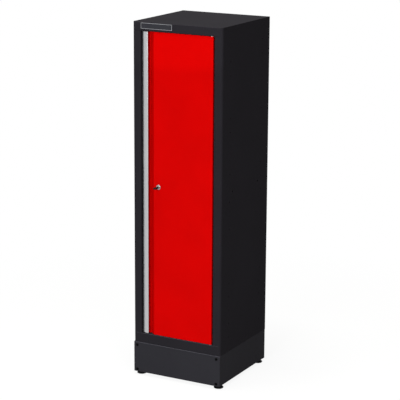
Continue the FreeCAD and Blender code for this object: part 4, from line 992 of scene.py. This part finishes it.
class LOCKER_OT_feet(Operator):
    """Levelling feet: threaded stud and round pad, one of each at every corner"""

    bl_idname = "locker.feet"
    bl_label = "Feet"

    def execute(self, context):
        trim = context.scene.locker_trim
        for end in ("front", "back"):
            for side in ("left", "right"):
                self.stud(f"foot_stud_{end}_{side}", trim)
                self.pad(f"foot_pad_{end}_{side}", trim)
        return {"FINISHED"}

    def stud(self, node, trim):
        low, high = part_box(node)
        length = high.z - low.z
        radius = (high.x - low.x) / 2
        ball = 6 * MM
        outline = [(radius * 0.6, 0), (radius * 0.95, 1 * MM)]
        outline += [(radius * 0.98, 3 * MM), (radius * 0.8, ball)]
        outline += thread(radius, ball, length - 5 * MM, trim.thread_pitch, trim.thread_depth)
        end = radius * 0.62
        outline += [(end, length - 5 * MM), (end, length - 0.8 * MM), (radius * 0.5, length)]
        place = [((low.x + high.x) / 2, (low.y + high.y) / 2, low.z)]
        stands_for(turned(node + "_turned", node, outline, place), node)

    def pad(self, node, trim):
        low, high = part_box(node)
        radius = (high.x - low.x) / 2
        height = high.z - low.z
        socket = trim.stud / 2 + RUNNING
        shares = [(0.96, 0), (1, 0.1), (1, 0.45), (0.98, 0.55), (0.9, 0.63)]
        shares += [(0.75, 0.72), (0.6, 0.79), (0.45, 0.88)]
        outline = [(radius * r, height * h) for r, h in shares]
        outline += [(socket + 4.2 * MM, height * 0.97), (socket + 3.4 * MM, height), (socket, height)]
        outline += [(socket, trim.stud_seat)]
        place = [((low.x + high.x) / 2, (low.y + high.y) / 2, low.z)]
        stands_for(turned(node + "_turned", node, outline, place, sides=72), node)


# ---------------------------------------------------------------------------------------------------------
# Stage


def lamp(name, place, aim, size, power, colour=(1, 1, 1), kind="AREA"):
    light = bpy.data.lights.new(name, kind)
    light.color = colour
    if kind == "AREA":
        light.shape = "RECTANGLE"
        light.size, light.size_y = size
    light.energy = power
    holder = linked(name, light)
    holder.location = place
    holder.rotation_euler = (Vector(aim) - Vector(place)).to_track_quat("-Z", "Y").to_euler()
    holder.visible_camera = False
    return holder


def seen_directly(tree):
    """1 for rays that the camera, a mirror or clear material sends, 0 for the rest."""
    path = tree.nodes.new("ShaderNodeLightPath")
    first = tree.nodes.new("ShaderNodeMath")
    first.operation = "MAXIMUM"
    second = tree.nodes.new("ShaderNodeMath")
    second.operation = "MAXIMUM"
    tree.links.new(path.outputs["Is Camera Ray"], first.inputs[0])
    tree.links.new(path.outputs["Is Glossy Ray"], first.inputs[1])
    tree.links.new(first.outputs[0], second.inputs[0])
    tree.links.new(path.outputs["Is Transmission Ray"], second.inputs[1])
    return second.outputs[0]


def backdrop(ambient):
    world = bpy.data.worlds.new("studio")
    bpy.context.scene.world = world
    world.use_nodes = True
    tree = world.node_tree
    strength = tree.nodes.new("ShaderNodeMapRange")
    strength.inputs["To Min"].default_value = ambient
    strength.inputs["To Max"].default_value = 1.0
    tree.links.new(seen_directly(tree), strength.inputs["Value"])
    sky = tree.nodes["Background"]
    sky.inputs["Color"].default_value = UNSHADED
    tree.links.new(strength.outputs["Result"], sky.inputs["Strength"])


def floor():
    material = bpy.data.materials.new("pale_floor")
    material.use_nodes = True
    tree = material.node_tree
    tree.nodes.remove(tree.nodes["Principled BSDF"])
    output = tree.nodes["Material Output"]
    pale = tree.nodes.new("ShaderNodeBsdfDiffuse")
    pale.inputs["Color"].default_value = (0.8, 0.8, 0.8, 1)
    grey = tree.nodes.new("ShaderNodeBsdfDiffuse")
    grey.inputs["Color"].default_value = (0.32, 0.32, 0.32, 1)
    white = tree.nodes.new("ShaderNodeEmission")
    seen = tree.nodes.new("ShaderNodeMixShader")
    place = tree.nodes.new("ShaderNodeTexCoord")
    reach = tree.nodes.new("ShaderNodeVectorMath")
    reach.operation = "LENGTH"
    tree.links.new(place.outputs["Object"], reach.inputs[0])
    share = tree.nodes.new("ShaderNodeMapRange")
    share.inputs["From Min"].default_value, share.inputs["From Max"].default_value = FLOOR_FADE
    share.inputs["To Min"].default_value = FLOOR_WHITE
    share.inputs["To Max"].default_value = 1.0
    tree.links.new(reach.outputs["Value"], share.inputs["Value"])
    tree.links.new(share.outputs["Result"], seen.inputs["Fac"])
    tree.links.new(pale.outputs[0], seen.inputs[1])
    tree.links.new(white.outputs[0], seen.inputs[2])
    whole = tree.nodes.new("ShaderNodeMixShader")
    tree.links.new(seen_directly(tree), whole.inputs["Fac"])
    tree.links.new(grey.outputs[0], whole.inputs[1])
    tree.links.new(seen.outputs[0], whole.inputs[2])
    tree.links.new(whole.outputs[0], output.inputs["Surface"])
    mesh = bpy.data.meshes.new("floor")
    form = bmesh.new()
    bmesh.ops.create_circle(form, cap_ends=True, segments=96, radius=FLOOR_RADIUS)
    form.to_mesh(mesh)
    form.free()
    disc = linked("floor", mesh)
    disc.location.z = cad_box[0].z
    disc.data.materials.append(material)


def camera(stage):
    lens = bpy.data.cameras.new("camera")
    lens.lens = stage.lens
    lens.sensor_width = SENSOR
    lens.clip_end = 100
    holder = linked("camera", lens)
    turn = (
        Matrix.Rotation(stage.camera_yaw, 4, "Z")
        @ Matrix.Rotation(math.pi / 2 - stage.camera_pitch, 4, "X")
        @ Matrix.Rotation(stage.camera_roll, 4, "Z")
    )
    holder.matrix_world = Matrix.Translation(stage.camera_place) @ turn
    bpy.context.scene.camera = holder


class LOCKER_OT_stage(Operator):
    """Set up the camera, the floor, the backdrop and the lamps"""

    bl_idname = "locker.stage"
    bl_label = "Stage"

    def execute(self, context):
        stage = context.scene.locker_stage
        context.scene.view_settings.view_transform = "Standard"
        camera(stage)
        backdrop(stage.ambient)
        floor()
        cool = (0.951, 1.005, 1.042)
        rosy = (1.03, 0.978, 0.991)
        warm = (1.013, 1.019, 0.967)
        lamp("front_softbox", (0.4, -7.6, 2.8), (0.1, -2.0, -5.7), (2.6, 2.6), 414, cool)
        lamp("right_softbox", (5.4, -5.6, 3.6), (1.2, -1.5, -2.0), (2.2, 2.2), 256, rosy)
        lamp("left_softbox", (-4.2, -4.4, 3.2), (0, -0.25, 0.6), (1.2, 1.2), 8)
        lamp("overhead_softbox", (-0.3, -1.1, 9.0), (-0.3, -1.1, 0), (3.0, 3.0), 838, warm)
        accent = lamp("door_top_beam", (0, -6.25, 3.11), (0, 0, 3.11), (0, 0), 243, kind="SPOT")
        accent.data.spot_size = BEAM_ANGLE
        accent.data.spot_blend = BEAM_BLEND
        accent.data.shadow_soft_size = BEAM_RADIUS
        return {"FINISHED"}


class LOCKER_PT_panel(Panel):
    """Lists the locker's settings and steps"""

    bl_idname = "LOCKER_PT_panel"
    bl_label = "Locker"
    bl_space_type = "VIEW_3D"
    bl_region_type = "UI"
    bl_category = "Locker"

    def draw(self, context):
        for group_name in GROUPS:
            group = getattr(context.scene, group_name)
            for name in group.bl_rna.properties.keys():
                if name not in {"rna_type", "name"}:
                    self.layout.prop(group, name)
        for step in STEPS:
            self.layout.operator(step.bl_idname)


STEPS = (
    LOCKER_OT_stage,
    LOCKER_OT_finishes,
    LOCKER_OT_plinth,
    LOCKER_OT_badge,
    LOCKER_OT_grip,
    LOCKER_OT_lock,
    LOCKER_OT_key,
    LOCKER_OT_pivots,
    LOCKER_OT_fasteners,
    LOCKER_OT_bolts,
    LOCKER_OT_feet,
)
GROUPS = {"locker_paints": LockerPaints, "locker_trim": LockerTrim, "locker_stage": LockerStage}


def register():
    for kind in (*GROUPS.values(), *STEPS, LOCKER_PT_panel):
        bpy.utils.register_class(kind)
    for name, kind in GROUPS.items():
        setattr(bpy.types.Scene, name, PointerProperty(type=kind))


def unregister():
    for name in GROUPS:
        delattr(bpy.types.Scene, name)
    for kind in (LOCKER_PT_panel, *reversed(STEPS), *GROUPS.values()):
        bpy.utils.unregister_class(kind)


def main():
    register()
    for step in STEPS:
        group, name = step.bl_idname.split(".")
        getattr(getattr(bpy.ops, group), name)()


if __name__ == "__main__":
    main()
